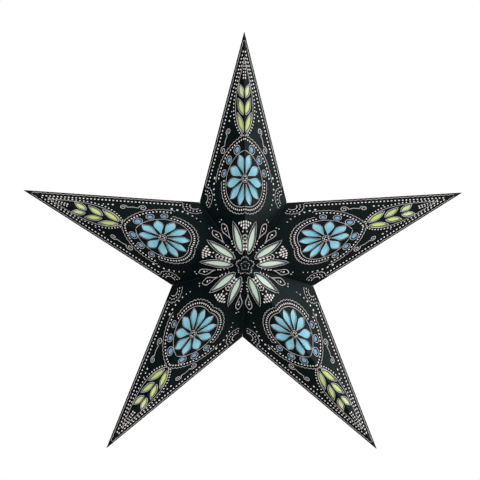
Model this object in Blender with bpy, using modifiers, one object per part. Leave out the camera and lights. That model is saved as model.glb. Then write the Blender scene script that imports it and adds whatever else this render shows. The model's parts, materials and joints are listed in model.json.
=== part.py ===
"""Fold-flat paper star lantern with five points, its lamp holder and its bulb.

The frame's origin is the outer tip of the top point, where the lantern hangs. +Z is up and the front
of the star looks along -Y. Every crease of the paper is a hinge, so each of the twenty panels of the
star is an object of its own, and it hangs in a chain of empties that stand on the crease lines.
"""
import math
from dataclasses import dataclass

import bmesh
import bpy
from mathutils import Matrix, Vector

# Star body
TIP_RADIUS = 0.300
VALLEY_RADIUS = 0.0965
HALF_DEPTH = 0.100
POINT_COUNT = 5
PAPER_THICKNESS = 0.0004
SEAT_GAP = 0.0003
RIDGE_ROOM = 0.0008
CREASE_ROOM = 0.0002
BACK_RIDGE_SLIT = 0.0034
OUTLINE_OVERRUN = 0.004
WELD_DISTANCE = 0.000001

# Coloured liners glued behind the cut windows
LINER_THICKNESS = 0.0002
LINER_VALLEY_MARGIN = 0.006
LINER_SIDE_MARGIN = 0.005
LINER_TIP_MARGIN = 0.052

# Windows cut in each panel, placed along the ridge from the apex and across from the ridge
PETAL_START = 0.022
PETAL_LENGTH = 0.040
PETAL_WIDTH = 0.0085
PETAL_FULLNESS = 0.8
ROSE_PLACE = 0.116
ROSE_HUB_RADIUS = 0.008
ROSE_PETAL_LENGTH = 0.027
ROSE_PETAL_WIDTH = 0.0112
ROSE_PETAL_FULLNESS = 1.5
ROSE_PETALS_A_SIDE = 5
PEARL_COUNT = 3
PEARL_ARC_RADIUS = 0.0445
PEARL_FIRST_ANGLE = math.radians(20)
PEARL_ANGLE_PITCH = math.radians(24)
PEARL_FIRST_RADIUS = 0.0042
PEARL_LAST_RADIUS = 0.0028
PEARL_SIDES = 8
LEAF_COUNT = 3
LEAF_FIRST_PLACE = 0.180
LEAF_PITCH = 0.0235
LEAF_RIDGE_MARGIN = 0.0032
LEAF_FIRST_LENGTH = 0.028
LEAF_LAST_LENGTH = 0.019
LEAF_WIDTH = 0.0072
LEAF_FULLNESS = 0.9
LEAF_TILT = math.radians(22)
BLADE_STATIONS = 3

# Closing seam in the bottom valley: flaps folded inwards, held together by hook and loop dots
FLAP_THICKNESS = 0.0004
FLAP_START = 0.060
FLAP_LENGTH = 0.040
FLAP_DEPTH = 0.010
FLAP_CORNER = 0.003
DOT_RADIUS = 0.0038
DOT_THICKNESS = 0.0009
DOT_SIDES = 16

# Hanging tab and its eyelet inside the top tip
TAB_THICKNESS = 0.0004
TAB_START = 0.018
TAB_LENGTH = 0.024
TAB_WIDTH = 0.0065
TAB_CORNER = 0.0015
EYELET_BORE = 0.0014
EYELET_WALL = 0.0007
EYELET_THICKNESS = 0.0008
EYELET_SIDES = 20

# Wire spreader across the star, from apex to apex
WIRE_RADIUS = 0.00125
ARM_SIDES = 12
TIP_BALL_RADIUS = 0.0022
TIP_BALL_STEPS = 5
RING_PLAY = 0.0005
RING_SECTION_SIDES = 8

# Lamp holder for a 14 mm screw cap
SLEEVE_RADIUS = 0.0135
SLEEVE_BORE = 0.0102
SLEEVE_LENGTH = 0.020
SHOULDER_RADIUS = 0.0175
SHOULDER_HEIGHT = 0.0025
HOLDER_TOP_LENGTH = 0.016
HOLDER_FLOOR = 0.003
CAP_HEIGHT = 0.014
CAP_WALL = 0.0018
CAP_BEVEL = 0.004
NIPPLE_RADIUS = 0.0058
NIPPLE_HEIGHT = 0.005
INLET_BORE = 0.0038
CLAMP_RING_RADIUS = 0.0185
CLAMP_RING_HEIGHT = 0.006
CLAMP_RING_BEVEL = 0.001
CONTACT_RADIUS = 0.004
CONTACT_HEIGHT = 0.0025
HOLDER_SIDES = 32

# Bulb
BULB_RADIUS = 0.0225
BULB_DROP = 0.0005
BULB_NECK_RADIUS = 0.0085
BULB_STEPS = 9
SCREW_RADIUS = 0.0068
SCREW_ROOT_RADIUS = 0.0061
SCREW_PITCH = 0.0028
SCREW_TURNS = 5
SCREW_TIP_RADIUS = 0.0028
SCREW_TIP_HEIGHT = 0.003

# Finishes
PAPER_COLOUR = (0.012, 0.03, 0.034, 1.0)
LINER_COLOUR = (0.2, 0.62, 0.76, 1.0)
FLAP_COLOUR = (0.03, 0.03, 0.032, 1.0)
DOT_COLOUR = (0.6, 0.6, 0.58, 1.0)
TAB_COLOUR = (0.5, 0.47, 0.42, 1.0)
STEEL_COLOUR = (0.62, 0.63, 0.65, 1.0)
HOLDER_COLOUR = (0.85, 0.84, 0.8, 1.0)
BRASS_COLOUR = (0.72, 0.56, 0.28, 1.0)
GLASS_COLOUR = (0.93, 0.93, 0.9, 1.0)

STEP_ANGLE = math.pi / POINT_COUNT
CENTRE = Vector((0, 0, -TIP_RADIUS))
AXIS = Vector((0, 1, 0))
RIGHT, LEFT = 1, -1
FRONT, BACK = -1, 1
SIDE_NAMES = {RIGHT: "right", LEFT: "left"}
FACE_NAMES = {FRONT: "front", BACK: "back"}
CHAIN_STEMS = ("top_{side}", "{side}_upper", "{side}_lower", "lower_{side}_outer", "lower_{side}_inner")


def clear_scene():
    """Take every object out of the open scene."""
    for item in list(bpy.data.objects):
        bpy.data.objects.remove(item, do_unlink=True)


def make_collection(name):
    """A new collection in the scene."""
    collection = bpy.data.collections.new(name)
    bpy.context.scene.collection.children.link(collection)
    return collection


def make_material(name, colour, roughness, metallic=0.0):
    """A Principled material with one colour."""
    material = bpy.data.materials.new(name)
    material.use_nodes = True
    shader = material.node_tree.nodes["Principled BSDF"]
    shader.inputs["Base Color"].default_value = colour
    shader.inputs["Roughness"].default_value = roughness
    shader.inputs["Metallic"].default_value = metallic
    return material


def ray(step):
    """Unit direction from the star's centre, step half points clockwise from the top."""
    return Vector((math.sin(step * STEP_ANGLE), 0, math.cos(step * STEP_ANGLE)))


def towards(vector, reference):
    """The unit vector along a line, turned so that it points the same way as the reference."""
    direction = vector.normalized()
    return direction if direction.dot(reference) > 0 else -direction


@dataclass
class Crease:
    """A fold line of the paper between a start and an end, and the plane that halves its angle."""

    start: Vector
    end: Vector
    plane_normal: Vector
    inward: Vector
    half_angle: float

    def along(self):
        """Unit direction from start to end."""
        return (self.end - self.start).normalized()

    def depth_below(self, distance):
        """How far inside the line two planes meet that lie a distance below the outer faces."""
        return distance / math.sin(self.half_angle)


@dataclass
class Panel:
    """One flat triangle of the star: its corners on the outer faces and its outward normal."""

    index: int
    side: int
    face: int

    def __post_init__(self):
        """Work out the corners, for either side and either face of the star."""
        tip_step = self.index + self.index % 2
        valley_step = self.index + 1 - self.index % 2
        self.mirror = Vector((self.side, 1, 1))
        self.tip_ray = ray(tip_step) * self.mirror
        self.valley_ray = ray(valley_step) * self.mirror
        self.apex = CENTRE + AXIS * self.face * HALF_DEPTH
        self.tip = CENTRE + self.tip_ray * TIP_RADIUS
        self.valley = CENTRE + self.valley_ray * VALLEY_RADIUS
        normal = (self.tip - self.apex).cross(self.valley - self.apex)
        self.normal = towards(normal, self.apex - CENTRE)
        self.ridge_length = (self.tip - self.apex).length

    def stem(self):
        """The panel's name without its kind of piece."""
        side = SIDE_NAMES[self.side]
        return CHAIN_STEMS[self.index].format(side=side) + "_" + FACE_NAMES[self.face]

    def frame(self):
        """Matrix whose X runs up the ridge from the apex, with Y across towards the valley."""
        along = (self.tip - self.apex).normalized()
        spoke = self.valley - self.apex
        across = (spoke - spoke.dot(along) * along).normalized()
        third = along.cross(across)
        rotation = Matrix((along, across, third)).transposed().to_4x4()
        return Matrix.Translation(self.apex) @ rotation

    def valley_place(self):
        """The valley corner in the panel's own flat frame."""
        local = self.frame().inverted() @ self.valley
        return Vector((local.x, local.y))

    def crease(self, start, end, plane_normal, corner):
        """A fold line at one edge of the panel, whose opposite corner is given."""
        along = (end - start).normalized()
        away = corner - start
        across = (away - away.dot(along) * along).normalized()
        half_angle = math.asin(abs(across.dot(plane_normal)))
        line = plane_normal.cross(along)
        return Crease(start, end, plane_normal, towards(line, CENTRE - start), half_angle)

    def ridge(self):
        """The crease from the apex to the tip."""
        return self.crease(self.apex, self.tip, AXIS.cross(self.tip_ray), self.valley)

    def bottom(self):
        """The crease from the apex to the valley corner."""
        return self.crease(self.apex, self.valley, AXIS.cross(self.valley_ray), self.tip)

    def rim(self):
        """The crease from the tip to the valley corner, in the plane of the outline."""
        return self.crease(self.tip, self.valley, AXIS, self.apex)


def trim_plane(panel, crease, start_inset, end_inset):
    """Point and outward normal of the plane that ends a panel at a crease, at two insets."""
    away = -towards(crease.plane_normal, (panel.apex + panel.tip + panel.valley) / 3 - crease.start)
    first = crease.start - away * start_inset
    last = crease.end - away * end_inset
    normal = (last - first).cross(crease.inward)
    return first, towards(normal, away)


def panel_planes(panel, inset):
    """The three planes that mitre a panel against its neighbours."""
    apex_inset = inset + (BACK_RIDGE_SLIT - SEAT_GAP) / 2 if panel.face == BACK else inset
    return (
        trim_plane(panel, panel.ridge(), apex_inset, inset),
        trim_plane(panel, panel.bottom(), inset, inset),
        trim_plane(panel, panel.rim(), inset, inset),
    )


def blade(start, angle, length, width, fullness):
    """Outline of a pointed leaf that sets out from a start at an angle, widest past its middle if full."""
    along = Vector((math.cos(angle), math.sin(angle)))
    across = Vector((-along.y, along.x))
    shares = [station / (BLADE_STATIONS + 1) for station in range(1, BLADE_STATIONS + 1)]
    swell = [width / 2 * math.sin(math.pi * share**fullness) for share in shares]
    right = [start + along * length * share - across * half for share, half in zip(shares, swell)]
    left = [start + along * length * share + across * half for share, half in zip(shares, swell)]
    return [start] + right + [start + along * length] + left[::-1]


def disc(centre, radius, sides):
    """Outline of a round hole."""
    turns = [2 * math.pi * side / sides for side in range(sides)]
    return [centre + Vector((math.cos(turn), math.sin(turn))) * radius for turn in turns]


def spread(first, last, index, count):
    """The value at an index of a row that runs evenly from first to last."""
    return first + (last - first) * index / (count - 1)


def round_rose(angle, radius):
    """A place in the panel's flat frame at an angle and a distance from the middle of the rose."""
    return Vector((ROSE_PLACE + math.cos(angle) * radius, math.sin(angle) * radius))


def window_outlines(panel):
    """Outlines of the windows cut in one panel, in its flat frame."""
    corner = panel.valley_place()
    middle = math.atan2(corner.y, corner.x) / 2
    heading = Vector((math.cos(middle), math.sin(middle)))
    windows = [blade(heading * PETAL_START, middle, PETAL_LENGTH, PETAL_WIDTH, PETAL_FULLNESS)]
    for petal in range(ROSE_PETALS_A_SIDE):
        turn = math.pi * (petal + 0.5) / ROSE_PETALS_A_SIDE
        start = round_rose(turn, ROSE_HUB_RADIUS)
        windows.append(blade(start, turn, ROSE_PETAL_LENGTH, ROSE_PETAL_WIDTH, ROSE_PETAL_FULLNESS))
    for number in range(PEARL_COUNT):
        centre = round_rose(PEARL_FIRST_ANGLE + PEARL_ANGLE_PITCH * number, PEARL_ARC_RADIUS)
        radius = spread(PEARL_FIRST_RADIUS, PEARL_LAST_RADIUS, number, PEARL_COUNT)
        windows.append(disc(centre, radius, PEARL_SIDES))
    for number in range(LEAF_COUNT):
        start = Vector((LEAF_FIRST_PLACE + LEAF_PITCH * number, LEAF_RIDGE_MARGIN))
        length = spread(LEAF_FIRST_LENGTH, LEAF_LAST_LENGTH, number, LEAF_COUNT)
        windows.append(blade(start, LEAF_TILT, length, LEAF_WIDTH, LEAF_FULLNESS))
    return windows


def panel_outline(panel, ridge_margin, valley_margin, rim_margin):
    """The panel's triangle with each edge moved inwards by its own margin."""
    corner = panel.valley_place()
    points = [Vector((0, 0)), Vector((panel.ridge_length, 0)), corner]
    margins = (ridge_margin, rim_margin, valley_margin)
    lines = []
    for index, margin in enumerate(margins):
        start, end = points[index], points[(index + 1) % 3]
        direction = (end - start).normalized()
        inward = Vector((-direction.y, direction.x))
        lines.append((start + inward * margin, direction))
    return [meeting(lines[index - 1], lines[index]) for index in range(3)]


def meeting(first, second):
    """Where two lines of a plane cross, each given by a point and a direction."""
    (start, along), (other, across) = first, second
    share = (other - start).cross(across) / along.cross(across)
    return start + along * share


def flat_solid(name, outlines, thickness, placement, material, collection):
    """A flat piece cut to an outline with holes, as a mesh in world coordinates."""
    curve = bpy.data.curves.new(name + "_outline", "CURVE")
    curve.dimensions = "2D"
    curve.fill_mode = "BOTH"
    curve.extrude = thickness / 2
    for outline in outlines:
        spline = curve.splines.new("POLY")
        spline.points.add(len(outline) - 1)
        for point, place in zip(spline.points, outline):
            point.co = (place.x, place.y, 0, 1)
        spline.use_cyclic_u = True
    drawing = bpy.data.objects.new(name + "_outline", curve)
    collection.objects.link(drawing)
    depsgraph = bpy.context.evaluated_depsgraph_get()
    mesh = bpy.data.meshes.new_from_object(drawing.evaluated_get(depsgraph))
    bpy.data.objects.remove(drawing, do_unlink=True)
    body = bmesh.new()
    body.from_mesh(mesh)
    bmesh.ops.remove_doubles(body, verts=body.verts, dist=WELD_DISTANCE)
    bmesh.ops.transform(body, matrix=placement, verts=body.verts)
    bmesh.ops.recalc_face_normals(body, faces=body.faces)
    body.to_mesh(mesh)
    body.free()
    return mesh_object(name, mesh, material, collection)


def mesh_object(name, mesh, material, collection):
    """An object with one material that holds a mesh."""
    mesh.name = name
    mesh.materials.clear()
    mesh.materials.append(material)
    item = bpy.data.objects.new(name, mesh)
    collection.objects.link(item)
    return item


def trim(item, planes):
    """Cut a solid back to the inner side of each plane and close the cut."""
    body = bmesh.new()
    body.from_mesh(item.data)
    for point, normal in planes:
        geometry = body.verts[:] + body.edges[:] + body.faces[:]
        bmesh.ops.bisect_plane(
            body, geom=geometry, dist=WELD_DISTANCE, plane_co=point, plane_no=normal, clear_outer=True
        )
        rim = [edge for edge in body.edges if edge.is_boundary]
        bmesh.ops.holes_fill(body, edges=rim, sides=0)
    bmesh.ops.recalc_face_normals(body, faces=body.faces)
    body.to_mesh(item.data)
    body.free()


def layer_frame(panel, depth):
    """The panel's flat frame, sunk a depth below its outer face."""
    return Matrix.Translation(-panel.normal * depth) @ panel.frame()


def paper_panel(panel, material, collection):
    """A panel of stiff paper with its cut windows, mitred at its three creases."""
    margin = -OUTLINE_OVERRUN
    outlines = [panel_outline(panel, margin, margin, margin)] + window_outlines(panel)
    placement = layer_frame(panel, PAPER_THICKNESS / 2)
    item = flat_solid(panel.stem() + "_panel", outlines, PAPER_THICKNESS, placement, material, collection)
    trim(item, panel_planes(panel, SEAT_GAP / 2))
    return item


def window_liner(panel, material, collection):
    """The translucent sheet that is glued behind a panel's windows."""
    outline = panel_outline(panel, -OUTLINE_OVERRUN, LINER_VALLEY_MARGIN, LINER_SIDE_MARGIN)
    depth = PAPER_THICKNESS + SEAT_GAP + LINER_THICKNESS / 2
    placement = layer_frame(panel, depth)
    item = flat_solid(panel.stem() + "_liner", [outline], LINER_THICKNESS, placement, material, collection)
    ridge = panel.ridge()
    tip_end = (ridge.end - ridge.along() * LINER_TIP_MARGIN, ridge.along())
    trim(item, panel_planes(panel, SEAT_GAP)[:1] + (tip_end,))
    return item


def ridge_axis(panel):
    """A point and the direction of the hinge line inside a ridge."""
    crease = panel.ridge()
    depth = crease.depth_below(PAPER_THICKNESS + RIDGE_ROOM)
    return crease.start + crease.inward * depth, crease.along()


def valley_axis(panel):
    """A point and the direction of the hinge line just outside a valley."""
    crease = panel.bottom()
    return crease.start - crease.inward * crease.depth_below(CREASE_ROOM), crease.along()


def rim_axis(panel):
    """A point and the direction of the hinge line just outside a rim."""
    crease = panel.rim()
    return crease.start - crease.inward * crease.depth_below(CREASE_ROOM), crease.along()


def hinge_empty(name, axis, parent, collection):
    """An empty that stands on a hinge line, with its Z along the line."""
    point, direction = axis
    world = Matrix.Translation(point) @ direction.to_track_quat("Z", "Y").to_matrix().to_4x4()
    empty = bpy.data.objects.new(name, None)
    empty.empty_display_size = DOT_RADIUS
    collection.objects.link(empty)
    empty.parent = parent
    empty.matrix_basis = parent.matrix_world.inverted() @ world if parent else world
    bpy.context.view_layer.update()
    return empty


def hang_on(item, empty):
    """Parent a piece, whose mesh is in world coordinates, to the empty on its hinge line."""
    item.data.transform(empty.matrix_world.inverted())
    item.parent = empty


def build_half(side, root, materials, collection):
    """The chain of panels down one side of the star, from the top ridge to the seam."""
    carrier = root
    for index in range(POINT_COUNT):
        panel = Panel(index, side, FRONT)
        axis = ridge_axis(panel) if index % 2 == 0 else valley_axis(panel)
        carrier = hinge_empty(panel.stem() + "_hinge", axis, carrier, collection)
        back = Panel(index, side, BACK)
        rear_carrier = hinge_empty(back.stem() + "_hinge", rim_axis(panel), carrier, collection)
        for each, empty in ((panel, carrier), (back, rear_carrier)):
            hang_on(paper_panel(each, materials["paper"], collection), empty)
            hang_on(window_liner(each, materials["liner"], collection), empty)
        if index == POINT_COUNT - 1:
            for each, empty in ((panel, carrier), (back, rear_carrier)):
                hang_on(seam_flap(each, materials["flap"], collection), empty)
                hang_on(seam_dot(each, materials["dot"], collection), empty)


def seam_place(panel):
    """Crease at the seam, the flap's distance from the seam plane and its first depth below the line."""
    crease = panel.bottom()
    offset = SEAT_GAP / 2 + DOT_THICKNESS + SEAT_GAP
    first_depth = crease.depth_below(PAPER_THICKNESS + SEAT_GAP) - offset / math.tan(crease.half_angle)
    return crease, offset, first_depth


def seam_frame(crease, side, offset):
    """Matrix in the seam's plane: X along the crease from the apex, Y inwards, moved off to a side."""
    along = crease.along()
    third = along.cross(crease.inward)
    rotation = Matrix((along, crease.inward, third)).transposed().to_4x4()
    return Matrix.Translation(crease.start + Vector((side * offset, 0, 0))) @ rotation


def seam_flap(panel, material, collection):
    """The margin of a seam panel, folded inwards beside the seam."""
    crease, offset, first_depth = seam_place(panel)
    end = FLAP_START + FLAP_LENGTH
    deep = first_depth + FLAP_DEPTH
    outline = [
        Vector((FLAP_START, first_depth)),
        Vector((end, first_depth)),
        Vector((end - FLAP_CORNER, deep)),
        Vector((FLAP_START + FLAP_CORNER, deep)),
    ]
    placement = seam_frame(crease, panel.side, offset + FLAP_THICKNESS / 2)
    name = "seam_flap_" + FACE_NAMES[panel.face] + "_" + SIDE_NAMES[panel.side]
    return flat_solid(name, [outline], FLAP_THICKNESS, placement, material, collection)


def seam_dot(panel, material, collection):
    """The half of a hook and loop dot that is stuck to one flap."""
    crease, offset, first_depth = seam_place(panel)
    centre = Vector((FLAP_START + FLAP_LENGTH / 2, first_depth + FLAP_DEPTH / 2))
    outline = disc(centre, DOT_RADIUS, DOT_SIDES)
    placement = seam_frame(crease, panel.side, SEAT_GAP / 2 + DOT_THICKNESS / 2)
    kind = "loop" if panel.side == RIGHT else "hook"
    name = "seam_dot_" + FACE_NAMES[panel.face] + "_" + kind
    return flat_solid(name, [outline], DOT_THICKNESS, placement, material, collection)


def tab_frame(crease):
    """Matrix in the plane of the top ridge: X down the ridge from the tip, Y inwards."""
    down = -crease.along()
    third = down.cross(crease.inward)
    rotation = Matrix((down, crease.inward, third)).transposed().to_4x4()
    return Matrix.Translation(crease.end) @ rotation


def tab_depth(crease):
    """How far below the top ridge's line the tab's edge lies."""
    return crease.depth_below(PAPER_THICKNESS + SEAT_GAP) + TAB_THICKNESS / 2 / math.tan(crease.half_angle)


def hanging_tab(materials, collection):
    """The stiff tab glued along the top ridge, inside the tip, and the metal eyelet in its hole."""
    crease = Panel(0, RIGHT, FRONT).ridge()
    near = tab_depth(crease)
    far = near + TAB_WIDTH
    end = TAB_START + TAB_LENGTH
    outline = [
        Vector((TAB_START, near)),
        Vector((end, near)),
        Vector((end, far - TAB_CORNER)),
        Vector((end - TAB_CORNER, far)),
        Vector((TAB_START + TAB_CORNER, far)),
        Vector((TAB_START, far - TAB_CORNER)),
    ]
    centre = Vector((TAB_START + TAB_WIDTH / 2, near + TAB_WIDTH / 2))
    rim_radius = EYELET_BORE + EYELET_WALL
    hole = disc(centre, rim_radius + SEAT_GAP, EYELET_SIDES)
    placement = tab_frame(crease)
    flat_solid("hanging_tab", [outline, hole], TAB_THICKNESS, placement, materials["tab"], collection)
    rings = [disc(centre, rim_radius, EYELET_SIDES), disc(centre, EYELET_BORE, EYELET_SIDES)]
    flat_solid("hanging_eyelet", rings, EYELET_THICKNESS, placement, materials["brass"], collection)


def turned(name, profile, closed, sides, material, collection):
    """A solid of revolution about its own Z: a profile of radius and height, with a Screw modifier."""
    mesh = bpy.data.meshes.new(name)
    count = len(profile)
    edges = [(index, (index + 1) % count) for index in range(count if closed else count - 1)]
    mesh.from_pydata([(radius, 0, height) for radius, height in profile], edges, [])
    item = mesh_object(name, mesh, material, collection)
    screw = item.modifiers.new("Turn", "SCREW")
    screw.steps = sides
    screw.render_steps = sides
    screw.use_merge_vertices = True
    screw.merge_threshold = WELD_DISTANCE
    screw.use_smooth_shade = False
    return item


def apex_seat(radius):
    """How far inside an apex the centre of a ball rests against the four nearest panels."""
    panel = Panel(0, RIGHT, FRONT)
    share = panel.normal.dot(panel.apex - CENTRE) / HALF_DEPTH
    return (radius + PAPER_THICKNESS + SEAT_GAP) / share


def spreader_arm(face, material, collection):
    """A straight wire arm from the middle ring to an apex, with a ball at its outer end."""
    start = SLEEVE_RADIUS + RING_PLAY + 2 * WIRE_RADIUS + SEAT_GAP
    centre = HALF_DEPTH - apex_seat(TIP_BALL_RADIUS)
    first = math.asin(WIRE_RADIUS / TIP_BALL_RADIUS)
    turns = [math.pi - spread(0, math.pi - first, step, TIP_BALL_STEPS) for step in range(TIP_BALL_STEPS)]
    ball = [(TIP_BALL_RADIUS * math.sin(turn), centre - TIP_BALL_RADIUS * math.cos(turn)) for turn in turns]
    profile = [(0, centre + TIP_BALL_RADIUS)] + ball[1:] + [(WIRE_RADIUS, start), (0, start)]
    item = turned("spreader_arm_" + FACE_NAMES[face], profile, False, ARM_SIDES, material, collection)
    item.location = CENTRE
    item.rotation_euler = (-face * math.pi / 2, 0, 0)


def spreader_ring(material, collection):
    """The wire ring round the lamp holder's sleeve."""
    middle = SLEEVE_RADIUS + RING_PLAY + WIRE_RADIUS
    turns = [-2 * math.pi * side / RING_SECTION_SIDES for side in range(RING_SECTION_SIDES)]
    profile = [(middle + WIRE_RADIUS * math.cos(turn), WIRE_RADIUS * math.sin(turn)) for turn in turns]
    item = turned("spreader_ring", profile, True, HOLDER_SIDES, material, collection)
    item.location = CENTRE


def holder_heights():
    """Heights of the lamp holder above the middle of the wire ring, from the shoulder to the nipple."""
    shoulder = WIRE_RADIUS + SEAT_GAP
    body = shoulder + SHOULDER_HEIGHT
    top = body + HOLDER_TOP_LENGTH
    cap = top + SEAT_GAP
    return shoulder, body, top, cap


def holder_sleeve(material, collection):
    """The lamp holder's body: a threaded sleeve, a shoulder that rests on the ring and a closed top."""
    shoulder, body, top, cap = holder_heights()
    profile = [
        (0, top),
        (SLEEVE_RADIUS, top),
        (SLEEVE_RADIUS, body),
        (SHOULDER_RADIUS, body),
        (SHOULDER_RADIUS, shoulder),
        (SLEEVE_RADIUS, shoulder),
        (SLEEVE_RADIUS, -SLEEVE_LENGTH),
        (SLEEVE_BORE, -SLEEVE_LENGTH),
        (SLEEVE_BORE, top - HOLDER_FLOOR),
        (0, top - HOLDER_FLOOR),
    ]
    turned("holder_sleeve", profile, False, HOLDER_SIDES, material, collection).location = CENTRE


def clamp_ring(material, collection):
    """The ring that screws up the sleeve and clamps the wire ring under the shoulder."""
    top = -WIRE_RADIUS - SEAT_GAP
    low = top - CLAMP_RING_HEIGHT
    inner = SLEEVE_RADIUS + RING_PLAY
    profile = [
        (CLAMP_RING_RADIUS - CLAMP_RING_BEVEL, top),
        (CLAMP_RING_RADIUS, top - CLAMP_RING_BEVEL),
        (CLAMP_RING_RADIUS, low + CLAMP_RING_BEVEL),
        (CLAMP_RING_RADIUS - CLAMP_RING_BEVEL, low),
        (inner, low),
        (inner, top),
    ]
    turned("clamp_ring", profile, True, HOLDER_SIDES, material, collection).location = CENTRE


def holder_cap(material, collection):
    """The hollow cap over the lamp holder, with the nipple that the lead comes in through."""
    low = holder_heights()[3]
    top = low + CAP_HEIGHT
    nose = top + NIPPLE_HEIGHT
    profile = [
        (NIPPLE_RADIUS, nose),
        (NIPPLE_RADIUS, top),
        (SLEEVE_RADIUS - CAP_BEVEL, top),
        (SLEEVE_RADIUS, top - CAP_BEVEL),
        (SLEEVE_RADIUS, low),
        (SLEEVE_RADIUS - CAP_WALL, low),
        (SLEEVE_RADIUS - CAP_WALL, top - CAP_BEVEL),
        (SLEEVE_RADIUS - CAP_BEVEL - CAP_WALL / 2, top - CAP_WALL),
        (INLET_BORE, top - CAP_WALL),
        (INLET_BORE, nose),
    ]
    turned("holder_cap", profile, True, HOLDER_SIDES, material, collection).location = CENTRE


def contact_heights():
    """Top and bottom of the centre contact inside the lamp holder."""
    top = holder_heights()[2] - HOLDER_FLOOR - SEAT_GAP
    return top, top - CONTACT_HEIGHT


def centre_contact(material, collection):
    """The sprung metal contact under the lamp holder's closed top."""
    top, low = contact_heights()
    profile = [(0, top), (CONTACT_RADIUS, top), (CONTACT_RADIUS, low), (0, low)]
    turned("centre_contact", profile, False, HOLDER_SIDES // 2, material, collection).location = CENTRE


def screw_cap_heights():
    """Top and bottom of the bulb's screw cap."""
    top = contact_heights()[1] - SEAT_GAP
    return top, top - SCREW_TIP_HEIGHT - SCREW_PITCH * SCREW_TURNS


def bulb_screw_cap(material, collection):
    """The bulb's metal screw cap, with a tip contact and a rounded thread."""
    top, low = screw_cap_heights()
    shell = top - SCREW_TIP_HEIGHT
    profile = [(0, top), (SCREW_TIP_RADIUS, top), (SCREW_ROOT_RADIUS, shell)]
    for turn in range(SCREW_TURNS):
        crest = shell - SCREW_PITCH * (turn + 0.5)
        profile += [(SCREW_RADIUS, crest), (SCREW_ROOT_RADIUS, crest - SCREW_PITCH / 2)]
    profile.append((0, low))
    turned("bulb_screw_cap", profile, False, HOLDER_SIDES // 2, material, collection).location = CENTRE


def bulb_glass(material, collection):
    """The bulb's glass: a straight neck out of the cap and a ball below the sleeve."""
    top = screw_cap_heights()[1] - SEAT_GAP
    centre = -SLEEVE_LENGTH - BULB_RADIUS - BULB_DROP
    first = math.asin(BULB_NECK_RADIUS / BULB_RADIUS)
    turns = [spread(first, math.pi, step, BULB_STEPS) for step in range(BULB_STEPS)]
    ball = [(BULB_RADIUS * math.sin(turn), centre + BULB_RADIUS * math.cos(turn)) for turn in turns[:-1]]
    profile = [(0, top), (BULB_NECK_RADIUS, top)] + ball + [(0, centre - BULB_RADIUS)]
    turned("bulb_glass", profile, False, HOLDER_SIDES, material, collection).location = CENTRE


def make_materials():
    """The finishes of the lantern's pieces."""
    return {
        "paper": make_material("black_card", PAPER_COLOUR, 0.55),
        "liner": make_material("turquoise_liner", LINER_COLOUR, 0.7),
        "flap": make_material("flap_card", FLAP_COLOUR, 0.8),
        "dot": make_material("hook_and_loop", DOT_COLOUR, 0.9),
        "tab": make_material("grey_board", TAB_COLOUR, 0.8),
        "steel": make_material("galvanised_wire", STEEL_COLOUR, 0.35, 1.0),
        "holder": make_material("holder_plastic", HOLDER_COLOUR, 0.4),
        "brass": make_material("brass", BRASS_COLOUR, 0.3, 1.0),
        "glass": make_material("opal_glass", GLASS_COLOUR, 0.15),
    }


def main():
    """Build the whole lantern."""
    clear_scene()
    collection = make_collection("paper_star_lantern")
    materials = make_materials()
    for side in (RIGHT, LEFT):
        build_half(side, None, materials, collection)
    hanging_tab(materials, collection)
    for face in (FRONT, BACK):
        spreader_arm(face, materials["steel"], collection)
    spreader_ring(materials["steel"], collection)
    holder_sleeve(materials["holder"], collection)
    clamp_ring(materials["holder"], collection)
    holder_cap(materials["holder"], collection)
    centre_contact(materials["brass"], collection)
    bulb_screw_cap(materials["brass"], collection)
    bulb_glass(materials["glass"], collection)


main()
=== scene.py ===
"""Dresses the folding paper star lantern: dark card with cut windows, coloured papers behind them,
a printed ornament of fine lines and beads, and the lamp fittings inside.

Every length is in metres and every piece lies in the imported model's own frame: the origin is the
outer tip of the top point, +Z is up and the front of the star looks along -Y.
"""
from __future__ import annotations

import json
import logging
import math
from contextlib import contextmanager
from dataclasses import dataclass, field, replace
from enum import Enum
from functools import reduce
from typing import Iterable, Iterator, Sequence

import bmesh
import bpy
from mathutils import Matrix, Vector

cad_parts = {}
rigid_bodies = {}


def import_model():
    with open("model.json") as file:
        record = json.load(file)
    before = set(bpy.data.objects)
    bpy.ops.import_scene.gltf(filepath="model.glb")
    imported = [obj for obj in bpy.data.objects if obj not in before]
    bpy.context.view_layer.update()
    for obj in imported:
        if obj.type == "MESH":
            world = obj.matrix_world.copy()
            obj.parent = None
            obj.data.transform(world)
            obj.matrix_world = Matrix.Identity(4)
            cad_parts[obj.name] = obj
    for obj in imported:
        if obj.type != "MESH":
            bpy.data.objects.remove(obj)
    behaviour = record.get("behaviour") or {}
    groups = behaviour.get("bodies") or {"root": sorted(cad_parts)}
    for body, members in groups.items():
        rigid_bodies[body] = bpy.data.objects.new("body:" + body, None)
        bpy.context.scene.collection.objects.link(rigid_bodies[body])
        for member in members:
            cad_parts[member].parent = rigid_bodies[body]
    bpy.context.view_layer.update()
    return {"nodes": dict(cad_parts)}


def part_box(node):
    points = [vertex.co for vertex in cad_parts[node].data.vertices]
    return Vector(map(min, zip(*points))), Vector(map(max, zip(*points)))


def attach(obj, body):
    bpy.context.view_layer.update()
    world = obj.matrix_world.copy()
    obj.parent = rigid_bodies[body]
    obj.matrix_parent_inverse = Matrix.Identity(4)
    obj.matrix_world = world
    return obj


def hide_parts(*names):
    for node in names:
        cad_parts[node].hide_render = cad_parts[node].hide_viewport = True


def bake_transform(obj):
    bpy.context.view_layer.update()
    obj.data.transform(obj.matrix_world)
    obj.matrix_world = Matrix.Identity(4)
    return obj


LOG = logging.getLogger("paper_star")
Path = list[Vector]
Span = tuple[float, float]
Triple = tuple[float, float, float]
Profile = Sequence[Span]
Socket = bpy.types.NodeSocket
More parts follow.
